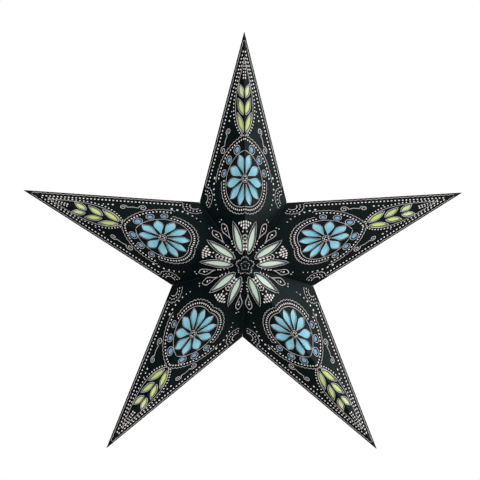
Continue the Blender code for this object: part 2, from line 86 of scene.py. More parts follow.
Mesh = bpy.types.Mesh
Material = bpy.types.Material
Inputs = dict[str | int, object]
WHITE = (1.0, 1.0, 1.0)

# Points closer together than this count as one.
WELD = 1e-6

# The map of places in a facet's flat frame, and the width that it covers from 0 to 1.
LAYOUT_MAP = "layout"
LAYOUT_SPAN = 0.32

# The colour sockets of a Mix node, whose names it uses more than once.
MIX_FIRST, MIX_SECOND, MIX_RESULT = 6, 7, 2

# The bodies of one half of the star, from the top down; the side's name goes into the braces.
FACET_STEMS = ("top_{0}", "{0}_upper", "{0}_lower", "lower_{0}_outer", "lower_{0}_inner")


class Side(Enum):
    """The half of the star that a facet lies in, seen from the front; the value is its sign along X."""

    RIGHT = 1
    LEFT = -1


class Face(Enum):
    """The front or the back of the star; the value is its sign along Y."""

    FRONT = -1
    BACK = 1


class WindowKind(Enum):
    """The coloured papers, one for each kind of window; the value is the material's index."""

    PETAL = 0
    ROSE = 1
    PEARL = 2
    LEAF = 3


class PrintLayer(Enum):
    """The inks of the printed ornament; the value is the material's index."""

    LINE = 0
    BEAD = 1
    # The third layer is a teal band round each window: painted glow of light through the window, laid on the
    # card.
    HALO = 2


@dataclass(frozen=True)
class NodeWriter:
    """Adds nodes to one node tree and joins their sockets."""

    tree: bpy.types.NodeTree

    def fill(self, node: bpy.types.Node, inputs: Inputs) -> None:
        """Fills a node's inputs.

        Args:
            node: The node.
            inputs: For each input, the output that feeds it or its value.
        """
        for name, value in inputs.items():
            if isinstance(value, bpy.types.NodeSocket):
                self.tree.links.new(value, node.inputs[name])
            else:
                node.inputs[name].default_value = value

    def add(self, kind: str, inputs: Inputs | None = None, **values: object) -> bpy.types.Node:
        """Adds a node.

        Args:
            kind: The node's type name.
            inputs: For each input, the output that feeds it or its value.
            **values: The node's properties.

        Returns:
            The new node.
        """
        node = self.tree.nodes.new(kind)
        for name, value in values.items():
            setattr(node, name, value)
        self.fill(node, inputs or {})
        return node

    def noise(self, place: Socket, scale: float, detail: float) -> Socket:
        """The grey value of a new noise texture, from its grains in a metre and its octaves."""
        node = self.add("ShaderNodeTexNoise", {"Vector": place, "Scale": scale, "Detail": detail})
        return node.outputs["Fac"]

    def ramp(self, factor: Socket, stops: Sequence[tuple[float, Triple]]) -> Socket:
        """Adds a colour ramp.

        Args:
            factor: What drives it.
            stops: Position and colour of each stop.

        Returns:
            Its colour.
        """
        node = self.add("ShaderNodeValToRGB", {"Fac": factor})
        band = node.color_ramp.elements
        while len(band) < len(stops):
            band.new(1.0)
        for element, (position, colour) in zip(band, stops):
            element.position = position
            element.color = (*colour, 1.0)
        return node.outputs["Color"]

    def remap(self, value: Socket, source: Span = (0.0, 1.0), target: Span = (0.0, 1.0)) -> Socket:
        """The value, mapped from one range to another; past the ends of its own it stands still."""
        limits = dict(zip(("From Min", "From Max", "To Min", "To Max"), source + target))
        return self.add("ShaderNodeMapRange", {"Value": value, **limits}).outputs["Result"]

    def calculate(self, operation: str, first: Socket, second: Socket | float) -> Socket:
        """The value of a new Math node."""
        return self.add("ShaderNodeMath", {0: first, 1: second}, operation=operation).outputs["Value"]

    def measure(self, operation: str, place: Socket, other: Triple) -> Socket:
        """The number that a new Vector Math node makes of a place and a fixed vector."""
        return self.add("ShaderNodeVectorMath", {0: place, 1: other}, operation=operation).outputs["Value"]

    def mix(
        self, blend: str, factor: Socket | float, first: Socket, second: Socket | Sequence[float],
    ) -> Socket:
        """The colour that a new Mix node makes of two, from a share of the second."""
        inputs = {"Factor": factor, MIX_FIRST: first, MIX_SECOND: second}
        return self.add("ShaderNodeMix", inputs, data_type="RGBA", blend_type=blend).outputs[MIX_RESULT]

    def layout(self) -> Socket:
        """Places on the layout map."""
        return self.add("ShaderNodeUVMap", uv_map=LAYOUT_MAP).outputs["UV"]


@dataclass(frozen=True)
class Finish:
    """A procedural finish: two tones that mottle each other, a grain in roughness and in height.

    The colours are linear. Mottle and grain are in grains a metre, and relief is the grain's height.
    """

    name: str
    tone: Triple
    second_tone: Triple
    mottle: float
    grain: float
    relief: float = 0.00001
    roughness: Span = (0.5, 0.6)
    metallic: float = 0.0
    specular: float = 0.5
    tint: Triple = WHITE
    mottle_detail: float = 4.0
    mottle_band: Span = (0.35, 0.65)
    grain_detail: float = 3.0
    relief_share: float = 0.6

    def colour(self, nodes: NodeWriter, place: Socket) -> Socket:
        """The colour at a place in object coordinates."""
        cloud = nodes.noise(place, self.mottle, self.mottle_detail)
        return nodes.ramp(cloud, list(zip(self.mottle_band, (self.tone, self.second_tone))))

    def build(self) -> Material:
        """Makes the material.

        Returns:
            The finished material.
        """
        material = bpy.data.materials.new(self.name)
        material.use_nodes = True
        nodes = NodeWriter(material.node_tree)
        place = nodes.add("ShaderNodeTexCoord").outputs["Object"]
        grain = nodes.noise(place, self.grain, self.grain_detail)
        height = {"Height": grain, "Distance": self.relief, "Strength": self.relief_share}
        nodes.fill(material.node_tree.nodes["Principled BSDF"], {
            "Base Color": self.colour(nodes, place),
            "Metallic": self.metallic,
            "Roughness": nodes.remap(grain, target=self.roughness),
            "Specular IOR Level": self.specular,
            "Specular Tint": (*self.tint, 1.0),
            "Normal": nodes.add("ShaderNodeBump", height).outputs["Normal"],
        })
        return material


@dataclass(frozen=True)
class WindowPaper(Finish):
    """Tinted paper whose colour fades from a window's inner end to its outer end."""

    mottle: float = 900.0
    grain: float = 1800.0
    relief: float = 0.00002
    roughness: Span = (0.7, 0.8)
    specular: float = 0.2
    mottle_detail: float = 5.0
    mottle_band: Span = (0.3, 0.7)
    far_tone: Triple = WHITE
    fade_middle: float = 0.55
    fade_centre: Span = (0.0, 0.0)
    fade_reach: Span = (0.0, 0.1)
    fibre_shade: Triple = (0.86, 0.86, 0.86)

    def colour(self, nodes: NodeWriter, place: Socket) -> Socket:
        """Builds the faded colour.

        Args:
            nodes: The material's nodes.
            place: Object coordinates.

        Returns:
            The colour.
        """
        centre = (self.fade_centre[0] / LAYOUT_SPAN, self.fade_centre[1] / LAYOUT_SPAN, 0.0)
        reach = (self.fade_reach[0] / LAYOUT_SPAN, self.fade_reach[1] / LAYOUT_SPAN)
        fade = nodes.remap(nodes.measure("DISTANCE", nodes.layout(), centre), source=reach)
        stops = [(0.0, self.tone), (self.fade_middle, self.second_tone), (1.0, self.far_tone)]
        fibre = nodes.noise(place, self.mottle, self.mottle_detail)
        shade = nodes.ramp(fibre, list(zip(self.mottle_band, (self.fibre_shade, WHITE))))
        return nodes.mix("MULTIPLY", 1.0, nodes.ramp(fade, stops), shade)


@dataclass(frozen=True)
class CardStock(Finish):
    """Printed black card, rubbed a little paler along its creases and its rim."""

    worn_tone: Triple = (0.030, 0.034, 0.036)
    worn_reach: float = 0.0011
    worn_patches: float = 90.0
    edges: tuple[Triple, ...] = ()

    def colour(self, nodes: NodeWriter, place: Socket) -> Socket:
        """Builds the colour.

        Args:
            nodes: The material's nodes.
            place: Object coordinates.

        Returns:
            The colour.
        """
        layout = nodes.layout()
        gaps = []
        for across, along, offset in self.edges:
            reach = nodes.measure("DOT_PRODUCT", layout, (across, along, 0.0))
            gaps.append(nodes.calculate("ADD", reach, offset / LAYOUT_SPAN))
        nearest = reduce(lambda first, second: nodes.calculate("MINIMUM", first, second), gaps)
        wear = nodes.remap(nearest, source=(0.0, self.worn_reach / LAYOUT_SPAN), target=(1.0, 0.0))
        patches = nodes.noise(place, self.worn_patches, self.grain_detail)
        rubbed = nodes.calculate("MULTIPLY", wear, patches)
        return nodes.mix("MIX", rubbed, super().colour(nodes, place), (*self.worn_tone, 1.0))


@dataclass(frozen=True)
class StarShape:
    """The star's driving sizes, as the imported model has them.

    Card and liner are thicknesses. The gap is the room at a crease and between card and liner, and
    the back slit is the opening between the back's ridges at the apex.
    """

    tip_radius: float = 0.300
    valley_radius: float = 0.0965
    half_depth: float = 0.100
    points: int = 5
    card: float = 0.0004
    gap: float = 0.0003
    liner: float = 0.0002
    back_slit: float = 0.0034

    @property
    def centre(self) -> Vector:
        """The middle of the star."""
        return Vector((0.0, 0.0, -self.tip_radius))

    def ray(self, step: int) -> Vector:
        """Unit direction from the centre, step half points clockwise from the top."""
        turn = math.pi * step / self.points
        return Vector((math.sin(turn), 0.0, math.cos(turn)))


@dataclass
class Facet:
    """One flat triangle of the star, with its flat frame: X up the ridge, Y across, Z outwards.

    The flat frame is left-handed on every second facet.
    """

    shape: StarShape
    index: int
    side: Side
    face: Face

    def __post_init__(self) -> None:
        """Works out the corners, the outward normal and the way from the flat frame to the model's."""
        mirror = Vector((self.side.value, 1, 1))
        step = self.index
        self.tip_ray = self.shape.ray(step + step % 2) * mirror
        self.valley_ray = self.shape.ray(step + 1 - step % 2) * mirror
        self.apex = self.shape.centre + Vector((0, self.face.value * self.shape.half_depth, 0))
        self.tip = self.shape.centre + self.tip_ray * self.shape.tip_radius
        self.valley = self.shape.centre + self.valley_ray * self.shape.valley_radius
        self.normal = (self.tip - self.apex).cross(self.valley - self.apex).normalized()
        if self.normal.dot(self.apex - self.shape.centre) < 0:
            self.normal = -self.normal
        self.middle = (self.apex + self.tip + self.valley) / 3
        along = (self.tip - self.apex).normalized()
        spoke = self.valley - self.apex
        across = (spoke - spoke.dot(along) * along).normalized()
        turn = Matrix((along, across, self.normal)).transposed().to_4x4()
        self.matrix = Matrix.Translation(self.apex) @ turn

    @property
    def stem(self) -> str:
        """The facet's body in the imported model."""
        name = FACET_STEMS[self.index].format(self.side.name.lower())
        return name + "_" + self.face.name.lower()

    def mitres(self, inset: float) -> list[tuple[Vector, Vector]]:
        """The planes that end the card at its ridge, valley and rim.

        Args:
            inset: Distance from each crease's own plane.

        Returns:
            A point and an outward normal for each plane, in the model's frame.
        """
        axis = Vector((0, 1, 0))
        # The back's ridges stand apart by the slit at the apex, and meet at the tips.
        wide = inset + (self.shape.back_slit - self.shape.gap) / 2 if self.face is Face.BACK else inset
        edges = (
            (self.apex, self.tip, axis.cross(self.tip_ray), wide, inset),
            (self.apex, self.valley, axis.cross(self.valley_ray), inset, inset),
            (self.tip, self.valley, axis, inset, inset),
        )
        planes = []
        for start, end, normal, first, last in edges:
            away = normal if normal.dot(self.middle - start) < 0 else -normal
            inward = away.cross(end - start).normalized()
            along = (end - away * last) - (start - away * first)
            turned = along.cross(inward).normalized()
            planes.append((start - away * first, turned if turned.dot(away) > 0 else -turned))
        return planes


def polar(angle: float, radius: float) -> Vector:
    """A plane vector from its angle and length."""
    return Vector((math.cos(angle), math.sin(angle))) * radius


def left_of(along: Vector) -> Vector:
    """A plane direction turned a quarter turn to its left."""
    return Vector((-along.y, along.x))


def spread(first: float, last: float, index: int, count: int) -> float:
    """The value at an index of an even row from first to last."""
    return first + (last - first) * index / max(count - 1, 1)


def arc(centre: Vector, radius: float, first: float, last: float, count: int) -> Path:
    """Points at even angles on an arc, from the first angle to the last."""
    return [centre + polar(spread(first, last, index, count), radius) for index in range(count)]


def circle(centre: Vector, radius: float, sides: int = 28) -> Path:
    """The closed outline of a disc."""
    return [centre + polar(math.tau * side / sides, radius) for side in range(sides)]


def crossing(first: tuple[Vector, Vector], second: tuple[Vector, Vector]) -> Vector:
    """Where two lines of a plane cross, each given by a point and a direction."""
    (start, along), (other, across) = first, second
    return start + along * ((other - start).cross(across) / along.cross(across))


def resampled(path: Path, step: float) -> Path:
    """Points at an even pitch along a path.

    Args:
        path: The corners.
        step: The wanted pitch.

    Returns:
        The new points, ends included.
    """
    lengths = [0.0]
    for first, second in zip(path, path[1:]):
        lengths.append(lengths[-1] + (second - first).length)
    count = max(2, round(lengths[-1] / step) + 1)
    result, leg = [], 0
    for index in range(count):
        place = lengths[-1] * index / (count - 1)
        while leg < len(path) - 2 and lengths[leg + 1] < place:
            leg += 1
        share = (place - lengths[leg]) / max(lengths[leg + 1] - lengths[leg], WELD)
        result.append(path[leg].lerp(path[leg + 1], min(share, 1.0)))
    return result


def shifted(path: Path, offsets: Sequence[float]) -> Path:
    """Moves a path sideways.

    Args:
        path: The path.
        offsets: How far each of its points moves to the left.

    Returns:
        The moved path.
    """
    last = len(path) - 1
    result = []
    for index, (place, offset) in enumerate(zip(path, offsets)):
        along = (path[min(index + 1, last)] - path[max(index - 1, 0)]).normalized()
        result.append(place + left_of(along) * offset)
    return result


def grown(outline: Path, distance: float, sharpest: float = 0.45) -> Path:
    """Moves a closed outline outwards, with its sharp corners kept.

    Args:
        outline: The outline.
        distance: How far its edges move.
        sharpest: Cosine of half a corner's turn past which the corner moves no further.

    Returns:
        The larger outline.
    """
    area = sum(first.cross(second) for first, second in zip(outline, outline[1:] + outline[:1]))
    sign = -1.0 if area > 0 else 1.0
    count = len(outline)
    result = []
    for index, place in enumerate(outline):
        before = (place - outline[index - 1]).normalized()
        after = (outline[(index + 1) % count] - place).normalized()
        middle = (before + after).normalized()
        reach = distance / max(sharpest, abs(before.dot(middle)))
        result.append(place + left_of(middle) * (sign * reach))
    return result


@dataclass(frozen=True)
class Scallop:
    """Even half-round bumps, of a width and a height, on the left of a line."""

    pitch: float
    depth: float
    steps: int = 6

    def along(self, path: Path) -> Path:
        """Bends a path into bumps.

        Args:
            path: The plain path.

        Returns:
            The bumpy path.
        """
        fine = resampled(path, self.pitch / self.steps)
        last = len(fine) - 1
        bumps = max(1, round(last / self.steps))
        waves = [abs(math.sin(math.pi * bumps * index / last)) for index in range(len(fine))]
        return shifted(fine, [self.depth * wave for wave in waves])


@dataclass
class Blade:
    """A pointed leaf shape, widest past its middle if its fullness is over 1."""

    start: Vector
    angle: float
    length: float
    width: float
    fullness: float
    stations: int = 21

    def outline(self) -> Path:
        """The closed outline.

        Returns:
            Its points, up the right side and down the left one.
        """
        along, across = polar(self.angle, self.length), polar(self.angle + math.pi / 2, self.width / 2)
        turns = [math.pi * step / (self.stations + 1) for step in range(1, self.stations + 1)]
        shares = [(1 - math.cos(turn)) / 2 for turn in turns]
        halves = [math.sin(math.pi * share**self.fullness) for share in shares]
        right, left = (
            [self.start + along * share + across * (side * half) for share, half in zip(shares, halves)]
            for side in (-1, 1)
        )
        return [self.start, *right, self.start + along, *reversed(left)]


@dataclass
class FacetLayout:
    """Where the windows lie on a facet, in its flat frame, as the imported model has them."""

    shape: StarShape
    petal_start: float = 0.022
    petal_length: float = 0.040
    petal_width: float = 0.0085
    petal_fullness: float = 0.8
    rose_place: float = 0.116
    rose_hub: float = 0.008
    rose_length: float = 0.027
    rose_width: float = 0.0112
    rose_fullness: float = 1.5
    rose_petals: int = 5
    pearls: int = 3
    pearl_arc: float = 0.0445
    pearl_angle: float = math.radians(20)
    pearl_pitch: float = math.radians(24)
    pearl_radii: Span = (0.0042, 0.0028)
    leaves: int = 3
    leaf_place: float = 0.180
    leaf_pitch: float = 0.0235
    leaf_margin: float = 0.0032
    leaf_lengths: Span = (0.028, 0.019)
    leaf_width: float = 0.0072
    leaf_fullness: float = 0.9
    leaf_tilt: float = math.radians(22)

    def __post_init__(self) -> None:
        """Works out the start and direction of ridge, rim and valley, with the facet on their left."""
        facet = Facet(self.shape, 0, Side.RIGHT, Face.FRONT)
        self.ridge_length = (facet.tip - facet.apex).length
        corner = (facet.matrix.inverted() @ facet.valley).to_2d()
        corners = [Vector((0, 0)), Vector((self.ridge_length, 0)), corner]
        ends = corners[1:] + corners[:1]
        self.edges = [(start, (end - start).normalized()) for start, end in zip(corners, ends)]
        self.sweep = math.atan2(corner.y, corner.x)
        self.rose_centre = Vector((self.rose_place, 0.0))

    def edge_lines(self) -> tuple[Triple, ...]:
        """Each edge's inward normal, and the offset at which its line stands at zero."""
        normals = [(left_of(along), start) for start, along in self.edges]
        return tuple((normal.x, normal.y, -normal.dot(start)) for normal, start in normals)

    def outline(self, ridge: float, valley: float, rim: float) -> Path:
        """The facet's triangle with its edges moved inwards.

        Args:
            ridge: How far the ridge moves.
            valley: How far the valley moves.
            rim: How far the rim moves.

        Returns:
            The corners at the apex, the tip and the valley.
        """
        edges = zip(self.edges, (ridge, rim, valley))
        lines = [(start + left_of(along) * margin, along) for (start, along), margin in edges]
        return [crossing(lines[index - 1], lines[index]) for index in range(len(lines))]

    def petal(self) -> Blade:
        """The pale window that points out from the apex."""
        start = polar(self.sweep / 2, self.petal_start)
        return Blade(start, self.sweep / 2, self.petal_length, self.petal_width, self.petal_fullness)

    def rose(self) -> list[Blade]:
        """The half rose of windows about a place on the ridge.

        Returns:
            Its petals.
        """
        turns = [math.pi * (petal + 0.5) / self.rose_petals for petal in range(self.rose_petals)]
        size = (self.rose_length, self.rose_width, self.rose_fullness)
        return [Blade(self.rose_centre + polar(turn, self.rose_hub), turn, *size) for turn in turns]

    def pearl_discs(self) -> list[tuple[Vector, float]]:
        """The round windows.

        Returns:
            The centre and radius of each.
        """
        last = self.pearl_angle + self.pearl_pitch * (self.pearls - 1)
        centres = arc(self.rose_centre, self.pearl_arc, self.pearl_angle, last, self.pearls)
        radii = [spread(*self.pearl_radii, pearl, self.pearls) for pearl in range(self.pearls)]
        return list(zip(centres, radii))

    def leaf_blades(self) -> list[Blade]:
        """The windows that branch off the ridge towards the tip.

        Returns:
            The leaves, from the largest on.
        """
        blades = []
        for leaf in range(self.leaves):
            start = Vector((self.leaf_place + self.leaf_pitch * leaf, self.leaf_margin))
            length = spread(*self.leaf_lengths, leaf, self.leaves)
            blades.append(Blade(start, self.leaf_tilt, length, self.leaf_width, self.leaf_fullness))
        return blades

    def windows(self) -> list[Path]:
        """The outline of every window."""
        blades = [self.petal(), *self.rose(), *self.leaf_blades()]
        return [blade.outline() for blade in blades] + [circle(*disc) for disc in self.pearl_discs()]


def placed(name: str, data: bpy.types.ID, *materials: Material) -> bpy.types.Object:
    """Makes an object in the scene.

    Args:
        name: Its name.
        data: Its mesh, curve, lamp or camera.
        *materials: The mesh's materials, by index.

    Returns:
        The object.
    """
    data.name = name
    for material in materials:
        data.materials.append(material)
    item = bpy.data.objects.new(name, data)
    bpy.context.scene.collection.objects.link(item)
    return item


def baked(item: bpy.types.Object) -> Mesh:
    """Turns an object into the plain mesh of its final shape.

    Args:
        item: The object, which goes.

    Returns:
        The mesh.
    """
    depsgraph = bpy.context.evaluated_depsgraph_get()
    mesh = bpy.data.meshes.new_from_object(item.evaluated_get(depsgraph))
    bpy.data.objects.remove(item)
    return mesh


@contextmanager
def reworked(mesh: Mesh, shell: bool = True) -> Iterator[bmesh.types.BMesh]:
    """Opens a mesh for editing and writes it back.

    Args:
        mesh: The mesh.
        shell: Whether it is closed, so that its faces can be turned outwards.

    Yields:
        The editable mesh.
    """
    work = bmesh.new()
    work.from_mesh(mesh)
    yield work
    if shell:
        bmesh.ops.recalc_face_normals(work, faces=work.faces)
    work.to_mesh(mesh)
    work.free()


def joined(meshes: Sequence[tuple[Mesh, int]]) -> Mesh:
    """Joins meshes into one.

    Args:
        meshes: Each mesh and the index of its material.

    Returns:
        The joined mesh.
    """
    work = bmesh.new()
    for mesh, slot in meshes:
        first = len(work.faces)
        work.from_mesh(mesh)
        work.faces.ensure_lookup_table()
        for face in work.faces[first:]:
            face.material_index = slot
    result = bpy.data.meshes.new("joined")
    work.to_mesh(result)
    work.free()
    return result


@dataclass(frozen=True)
class SheetCutter:
    """Cuts flat sheets to outlines, in a facet's flat frame."""

    overrun: float = 0.004

    def cut(self, outlines: Iterable[Path], thickness: float, top: float) -> Mesh:
        """Cuts one sheet.

        Args:
            outlines: The outer outline, and those of its holes.
            thickness: The sheet's thickness.
            top: The height of its outer side.

        Returns:
            The closed mesh.
        """
        curve = bpy.data.curves.new("sheet", "CURVE")
        curve.dimensions = "2D"
        curve.fill_mode = "BOTH"
        curve.extrude = thickness / 2
        for outline in outlines:
            spline = curve.splines.new("POLY")
            spline.points.add(len(outline) - 1)
            for point, place in zip(spline.points, outline):
                point.co = (place.x, place.y, 0.0, 1.0)
            spline.use_cyclic_u = True
        mesh = baked(placed("sheet", curve))
        mesh.transform(Matrix.Translation((0, 0, top - thickness / 2)))
        with reworked(mesh) as work:
            bmesh.ops.remove_doubles(work, verts=work.verts, dist=WELD)
        return mesh

    def trim(self, mesh: Mesh, planes: Iterable[tuple[Vector, Vector]]) -> None:
        """Cuts a mesh back to planes, and closes the cuts.

        Args:
            mesh: The mesh.
            planes: A point and an outward normal for each plane.
        """
        with reworked(mesh) as work:
            for place, normal in planes:
                parts = work.verts[:] + work.edges[:] + work.faces[:]
                bmesh.ops.bisect_plane(
                    work, geom=parts, dist=WELD, plane_co=place, plane_no=normal, clear_outer=True,
                )
                bmesh.ops.holes_fill(work, edges=[edge for edge in work.edges if edge.is_boundary], sides=0)

    def map_layout(self, mesh: Mesh) -> None:
        """Writes the layout map.

        Args:
            mesh: A mesh in the flat frame.
        """
        layer = mesh.uv_layers.new(name=LAYOUT_MAP)
        for loop in mesh.loops:
            place = mesh.vertices[loop.vertex_index].co
            layer.data[loop.index].uv = (place.x / LAYOUT_SPAN, place.y / LAYOUT_SPAN)


@dataclass
class PathTree:
    """A Geometry Nodes tree with named inputs, run on paths."""

    name: str
    inputs: dict[str, tuple[str, object]]
    sockets: dict[str, bpy.types.NodeTreeInterfaceSocket] = field(default_factory=dict)

    def __post_init__(self) -> None:
        """Makes the tree's interface and its first node, which turns loose edges into curves."""
        self.tree = bpy.data.node_groups.new(self.name, "GeometryNodeTree")
        self.tree.interface.new_socket(name="Geometry", in_out="INPUT", socket_type="NodeSocketGeometry")
        for label, (kind, _) in self.inputs.items():
            self.sockets[label] = self.tree.interface.new_socket(name=label, in_out="INPUT", socket_type=kind)
        self.tree.interface.new_socket(name="Geometry", in_out="OUTPUT", socket_type="NodeSocketGeometry")
        self.nodes = NodeWriter(self.tree)
        self.entry = self.nodes.add("NodeGroupInput").outputs
        loose = {"Mesh": self.entry["Geometry"]}
        self.curves = self.nodes.add("GeometryNodeMeshToCurve", loose).outputs["Curve"]

    def finish(self, geometry: Socket) -> None:
        """Ends the tree in Realize Instances and Set Material.

        Args:
            geometry: What the tree makes.
        """
        real = self.nodes.add("GeometryNodeRealizeInstances", {"Geometry": geometry}).outputs["Geometry"]
        dressed = self.nodes.add("GeometryNodeSetMaterial", {"Geometry": real, "Material": self.entry["Ink"]})
        self.nodes.add("NodeGroupOutput", {"Geometry": dressed.outputs["Geometry"]})

    def run(self, paths: Iterable[Path], height: float, **values: object) -> Mesh:
        """Runs the tree on paths.

        Args:
            paths: The paths, in the flat frame.
            height: Their height over the card.
            **values: Values for the named inputs, in small letters.

        Returns:
            The plain mesh.
        """
        mesh = bpy.data.meshes.new(self.name)
        places, edges = [], []
        for path in paths:
            first = len(places)
            places += [(place.x, place.y, height) for place in path]
            edges += [(first + step, first + step + 1) for step in range(len(path) - 1)]
        mesh.from_pydata(places, edges, [])
        item = placed(self.name, mesh)
        modifier = item.modifiers.new(self.name, "NODES")
        modifier.node_group = self.tree
        for label, (_, value) in self.inputs.items():
            modifier[self.sockets[label].identifier] = values.get(label.lower(), value)
        return baked(item)


class LineTree(PathTree):
    """Flat printed ribbons that follow paths."""

    def __init__(self) -> None:
        """Builds the tree."""
        super().__init__("printed_line", {
            "Width": ("NodeSocketFloat", 0.0005),
            "Thickness": ("NodeSocketFloat", 0.00004),
            "Ink": ("NodeSocketMaterial", None),
        })
        add = self.nodes.add
        upright = add("GeometryNodeSetCurveNormal", {"Curve": self.curves}, mode="Z_UP")
        size = {"Width": self.entry["Width"], "Height": self.entry["Thickness"]}
        section = add("GeometryNodeCurvePrimitiveQuadrilateral", size, mode="RECTANGLE")
        curves = {"Curve": upright.outputs["Curve"], "Profile Curve": section.outputs["Curve"]}
        ribbon = add("GeometryNodeCurveToMesh", {**curves, "Fill Caps": True})
        self.finish(ribbon.outputs["Mesh"])


class BeadTree(PathTree):
    """Low domes at an even pitch along paths."""

    def __init__(self) -> None:
        """Builds the tree."""
        super().__init__("printed_bead", {
            "Pitch": ("NodeSocketFloat", 0.005),
            "Radius": ("NodeSocketFloat", 0.001),
            "Flatness": ("NodeSocketFloat", 0.18),
            "Segments": ("NodeSocketInt", 10),
            "Rings": ("NodeSocketInt", 5),
            "Ink": ("NodeSocketMaterial", None),
        })
        add, entry = self.nodes.add, self.entry
        pitch = {"Curve": self.curves, "Length": entry["Pitch"]}
        points = add("GeometryNodeCurveToPoints", pitch, mode="LENGTH")
        size = {label: entry[label] for label in ("Radius", "Segments", "Rings")}
        ball = add("GeometryNodeMeshUVSphere", size)
        squash = add("ShaderNodeCombineXYZ", {"X": 1.0, "Y": 1.0, "Z": entry["Flatness"]})
        domes = add("GeometryNodeInstanceOnPoints", {
            "Points": points.outputs["Points"],
            "Instance": ball.outputs["Mesh"],
            "Scale": squash.outputs["Vector"],
        })
        smooth = add("GeometryNodeSetShadeSmooth", {"Geometry": domes.outputs["Instances"]})
        self.finish(smooth.outputs["Geometry"])


@dataclass
class Pen:
    """Collects the lines and beads of one facet's print, and keeps them on its card."""

    layout: FacetLayout
    slit: float
    edge: float = 0.0008
    ridge_gap: float = 0.0006
    arc_pitch: float = 0.0022
    least_arc: int = 4
    stub: float = 10 * WELD
    lone_pitch: float = 1.0
    strokes: dict[float, list[Path]] = field(default_factory=dict)
    rows: dict[Span, list[Path]] = field(default_factory=dict)

    def off_ridge(self, place: Vector, clear: float = 0.0) -> Vector:
        """The place, moved off the ridge where it has to be for its ink to end on the card."""
        least = self.edge + clear + self.slit * (1 - place.x / self.layout.ridge_length)
        return Vector((place.x, max(place.y, least)))

    def on_facet(self, place: Vector, margin: float) -> bool:
        """Says whether a place lies on the facet, a margin from its rim and its valley."""
        edges = zip(self.layout.edges, (0.0, margin, margin))
        return all(along.cross(place - start) >= keep - WELD for (start, along), keep in edges)

    def clipped(self, path: Path, margin: float) -> list[Path]:
        """Clips a path to the facet.

        Args:
            path: The path.
            margin: Room to keep from the rim and the valley.

        Returns:
            The stretches that are left.
        """
        runs, run = [], []
        for place in path:
            if self.on_facet(place, margin):
                run.append(place)
            elif run:
                runs.append(run)
                run = []
        runs.append(run)
        return [found for found in runs if len(found) > 1]

    def rose_arc(self, radius: float, first: float = 0.0, last: float = math.pi) -> Path:
        """An arc about the rose, kept off the ridge.

        Args:
            radius: Its radius.
            first: The angle at which it starts.
            last: The angle at which it ends.

        Returns:
            The path.
        """
        clear = math.asin(self.edge / radius)
        start, stop = max(first, clear), min(last, math.pi - clear)
        count = max(self.least_arc, round((stop - start) * radius / self.arc_pitch))
        return arc(self.layout.rose_centre, radius, start, stop, count)

    def line(self, path: Path, width: float) -> None:
        """Adds a line."""
        self.strokes.setdefault(width, []).append([self.off_ridge(place) for place in path])

    def ring(self, outline: Path, width: float) -> None:
        """Adds a closed line."""
        self.line([*outline, outline[0]], width)

    def beads(self, path: Path, pitch: float, radius: float) -> None:
        """Adds a row of beads along a path."""
        clear = radius - self.edge / 2
        self.rows.setdefault((pitch, radius), []).append([self.off_ridge(place, clear) for place in path])

    def bead(self, place: Vector, radius: float) -> None:
        """Adds one bead, on a path too short for a second."""
        self.beads([place, place + Vector((self.stub, 0))], self.lone_pitch, radius)

    def bead_run(self, places: Path, radii: Span) -> None:
        """Adds a bead at each place, of radii from the first to the last."""
        for number, place in enumerate(places):
            self.bead(place, spread(*radii, number, len(places)))

    def ridge_run(self, start: float, pitch: float, count: int, radii: Span) -> None:
        """Adds a row of beads that touch the ridge's margin.

        Args:
            start: Place of the first one along the ridge.
            pitch: Distance from one to the next.
            count: Number of beads.
            radii: Radius of the first and of the last.
        """
        places = []
        for number in range(count):
            off = spread(*radii, number, count) + self.ridge_gap
            places.append(Vector((start + pitch * number, off)))
        self.bead_run(places, radii)


@dataclass(frozen=True)
class Motif:
    """One motif of the ornament, with the widths and beads that all of them share."""

    pen: Pen
    hairline: float = 0.0005
    fine: float = 0.0007
    bold: float = 0.0010
    bead: float = 0.00125
    small_bead: float = 0.00095
    bead_pitch: float = 0.0048

    def draw(self) -> None:
        """Draws the motif."""
        raise NotImplementedError


@dataclass(frozen=True)
class Border(Motif):
    """A scalloped line and beads along the rim."""

    line_inset: float = 0.0044
    bead_inset: float = 0.0092
    corner_room: float = 0.0190
    scallop: Scallop = Scallop(pitch=0.0068, depth=0.0016)

    def run(self, ridge: float, inset: float) -> Path:
        """A line at an inset from the rim, from the arcs in the corner to its end off the ridge."""
        _, end, corner = self.pen.layout.outline(ridge, inset, inset)
        return [corner + (end - corner).normalized() * self.corner_room, end]

    def draw(self) -> None:
        """Draws the line and the beads."""
        pen = self.pen
        pen.line(self.scallop.along(self.run(pen.edge, self.line_inset)), self.fine)
        pen.beads(self.run(pen.edge + self.bead, self.bead_inset), self.bead_pitch, self.bead)


@dataclass(frozen=True)
class CornerArcs(Motif):
    """Nested arcs in the valley corner: a line, beads and a scalloped line."""

    inset: float = 0.0092
    radii: Triple = (0.0065, 0.0108, 0.0146)
    keeps: Triple = (0.7, 0.7, 0.55)
    pitch: float = 0.0040
    scallop: Scallop = Scallop(pitch=0.0052, depth=0.0014)
    steps: int = 40

    def draw(self) -> None:
        """Draws the three arcs, each clipped to the facet."""
        pen = self.pen
        centre = pen.layout.outline(pen.edge, self.inset, self.inset)[2]
        line, beads, scallops = (
            pen.clipped(arc(centre, radius, math.pi, math.tau, self.steps + 1), self.inset * keep)
            for radius, keep in zip(self.radii, self.keeps)
        )
        for run in line:
            pen.line(run, self.bold)
        for run in beads:
            pen.beads(run, self.pitch, self.small_bead)
        for run in scallops:
            pen.line(self.scallop.along(run[::-1]), self.fine)


@dataclass(frozen=True)
class RoseBand:
    """Beads and a scalloped line outside a ring: their distances from it, and where the beads stop."""

    bead_room: float
    line_room: float
    stops: Span


